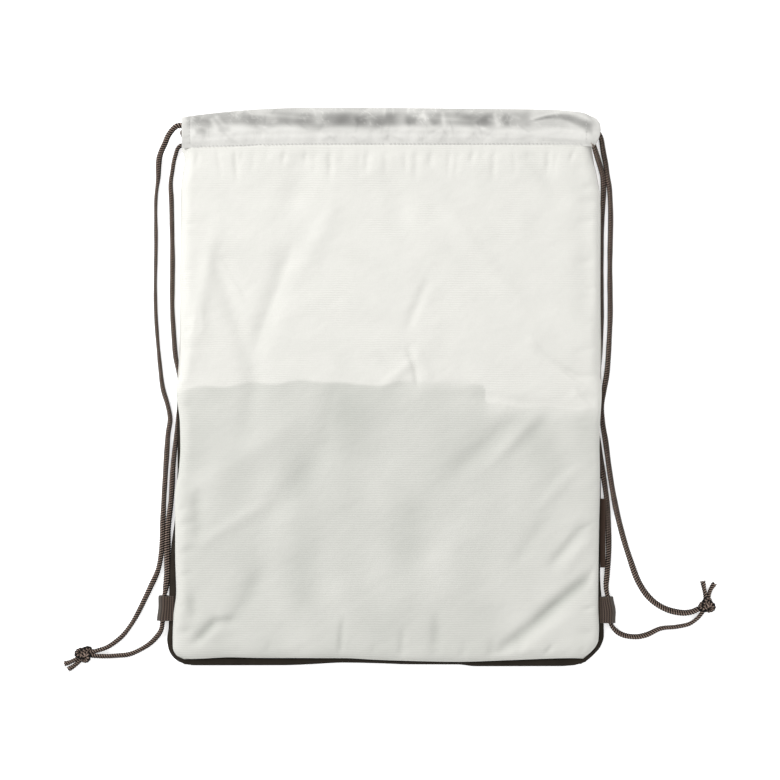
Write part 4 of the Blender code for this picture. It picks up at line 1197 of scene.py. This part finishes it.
def stitch_mesh(name, rows):
    verts, faces, tone, rest = [], [], [], []
    sides = 6
    for a, b, z, r in rows:
        d = b - a
        length = np.linalg.norm(d)
        d = d / length
        across = np.array([-d[1], d[0]])
        base = len(verts)
        stations = [(0.0, 0.35, -0.45), (0.12, 0.8, -0.12), (0.5, 1.0, 0.0), (0.88, 0.8, -0.12), (1.0, 0.35, -0.45)]
        for u, k, dz in stations:
            c = a + d * length * u
            for j in range(sides):
                th = 2 * math.pi * j / sides
                q = c + across * math.cos(th) * r * k
                verts.append((q[0], q[1], z + dz * r * 1.6 + math.sin(th) * r * k))
                # painted shade: each stitch is darker towards its ends, where it dips into the cloth
                tone.append(0.2 + 0.5 * (abs(u - 0.5) * 2) ** 2)
                rest.append((c[0] * MM, q[1] * MM, z * MM))
        for i in range(len(stations) - 1):
            for j in range(sides):
                k0 = base + i * sides + j
                k1 = base + i * sides + (j + 1) % sides
                faces.append((k0, k1, k1 + sides, k0 + sides))
        faces.append(tuple(base + j for j in reversed(range(sides))))
        faces.append(tuple(base + (len(stations) - 1) * sides + j for j in range(sides)))
    o = mesh_object(name, np.array(verts), np.zeros((0, 4), int), None, faces, {"tone": tone, "rest": np.array(rest)})
    finish_piece(o, THREAD, "white_polyester")
    return gathers(o)


case_top = surface_height(front_case + [front_l, front_r])
rows = []
xs = np.linspace(-156.5, 157.5, 120)
stitch_row(rows, [np.stack([xs, CASE_FOOT(xs) + 1.5], 1)], case_top, 2.0, 1.15, 0.23, 0.05)
for hx in (-157.4, 158.8):
    ys = np.linspace(193.0, 213.5, 12)
    stitch_row(rows, [np.stack([np.full(12, hx), ys], 1)], case_top, 1.9, 1.0, 0.22, 0.02)
stitches_l = stitch_mesh("casing stitches left", [q for q in rows if q[0][0] < 0 and q[1][0] < 0])
stitches_r = stitch_mesh("casing stitches right", [q for q in rows if q[0][0] >= 0])

# ------------------------------------------------------------------ tape loops and the side ribbon


def strip(name, profile_xz, y_rows, root_x, side, lean, thick, tone_rule, wobble=0.0, seed=0):
    """A woven tape that follows a profile in x and z, and runs along y."""
    p = curve_through([(a, 0, b) for a, b in profile_xz], 0.45)[:, [0, 2]]
    rng = np.random.default_rng(seed)
    ny = len(y_rows)
    v = np.zeros((ny, len(p), 3))
    for i, y in enumerate(y_rows):
        k = i / (ny - 1)
        v[i, :, 0] = root_x + side * (p[:, 0] + lean(k) * smooth(0, 6, p[:, 0]) + wobble * math.sin(k * 7 + seed) * np.clip(p[:, 0] / 10, 0, 1))
        v[i, :, 1] = y
        v[i, :, 2] = p[:, 1]
    n = grid_normals(v)
    tone = tone_rule(p, np.linspace(0, 1, ny))
    s = np.concatenate([[0], np.cumsum(np.linalg.norm(np.diff(p, axis=0), axis=1))])
    rest = np.stack([np.broadcast_to(s[None, :], (ny, len(p))), v[..., 1], np.zeros((ny, len(p)))], -1)
    # the tape's two faces, half its thickness each side of the profile
    outer = v + n * thick / 2
    return shell(name, outer, n, thick, tone, rest=rest)


LOOP_PROFILE = [(-3.2, 6.3), (-1.0, 6.4), (1.6, 6.9), (4.8, 7.75), (7.4, 7.95), (9.6, 7.45), (11.5, 6.2), (12.3, 4.7), (12.1, 3.0), (11.2, 1.7),
                (9.8, 0.95), (8.15, 0.66), (6.7, 0.9), (5.5, 1.7), (4.8, 3.3), (4.2, 4.5), (2.6, 5.15), (0.4, 5.25), (-3.2, 5.2)]


def loop_tone(p, k):
    worn = np.exp(-((p[:, 0] - 11.2) / 1.7) ** 2) * smooth(2.0, 5.5, p[:, 1])
    edge = np.maximum(np.exp(-(k / 0.035) ** 2), np.exp(-((1 - k) / 0.035) ** 2))
    return np.clip(0.85 * worn[None, :] + 0.35 * edge[:, None], 0, 1)


ys = np.linspace(-187.6, -167.6, 46) + SHIFT[1]
left_loop = strip("left loop", LOOP_PROFILE, ys, -171.7 + SHIFT[0], -1, lambda k: 0.6 - 1.3 * k, 0.85, loop_tone, 0.25, 1)
finish_piece(left_loop, TAPE, "webbing_tape", "left_loop")
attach(left_loop, "left_loop")
ys = np.linspace(-189.4, -168.4, 46) + SHIFT[1]
right_loop = strip("right loop", LOOP_PROFILE, ys, 169.6 + SHIFT[0], 1, lambda k: 0.2 - 1.7 * float(smooth(0.3, 1.0, k)), 0.85, loop_tone, 0.25, 4)
finish_piece(right_loop, TAPE, "webbing_tape", "right_loop")
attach(right_loop, "right_loop")

RIB_LOW, RIB_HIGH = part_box("side_ribbon")
rx0, rx1 = RIB_LOW.x / MM, RIB_HIGH.x / MM
ry0, ry1 = RIB_LOW.y / MM, RIB_HIGH.y / MM
rz = (RIB_LOW.z + RIB_HIGH.z) / 2 / MM
wide_r = rx1 - rx0 - 1.05
ribbon_profile = [(-0.5, rz - 0.05), (0.0, rz), (wide_r * 0.5, rz + 0.25), (wide_r * 0.82, rz + 0.2), (wide_r - 0.3, rz - 0.1), (wide_r - 0.12, rz - 0.45),
                  (wide_r - 0.5, rz - 0.7), (wide_r * 0.6, rz - 0.62), (0.0, rz - 0.7), (-0.5, rz - 0.7)]


def ribbon_tone(p, k):
    edge = np.maximum(np.exp(-(k / 0.012) ** 2), np.exp(-((1 - k) / 0.012) ** 2))
    fold_ = np.exp(-((p[:, 0] - wide_r) / 0.7) ** 2)
    return np.clip(0.3 * fold_[None, :] + 0.3 * edge[:, None], 0, 1)


ribbon = strip("side ribbon", ribbon_profile, np.linspace(ry0 + 0.2, ry1 - 0.2, 110), rx0, 1, lambda k: 0.0, 0.42, ribbon_tone, 0.18, 2)
finish_piece(ribbon, RIBBON, "label_ribbon", "side_ribbon")
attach(ribbon, "side_ribbon")
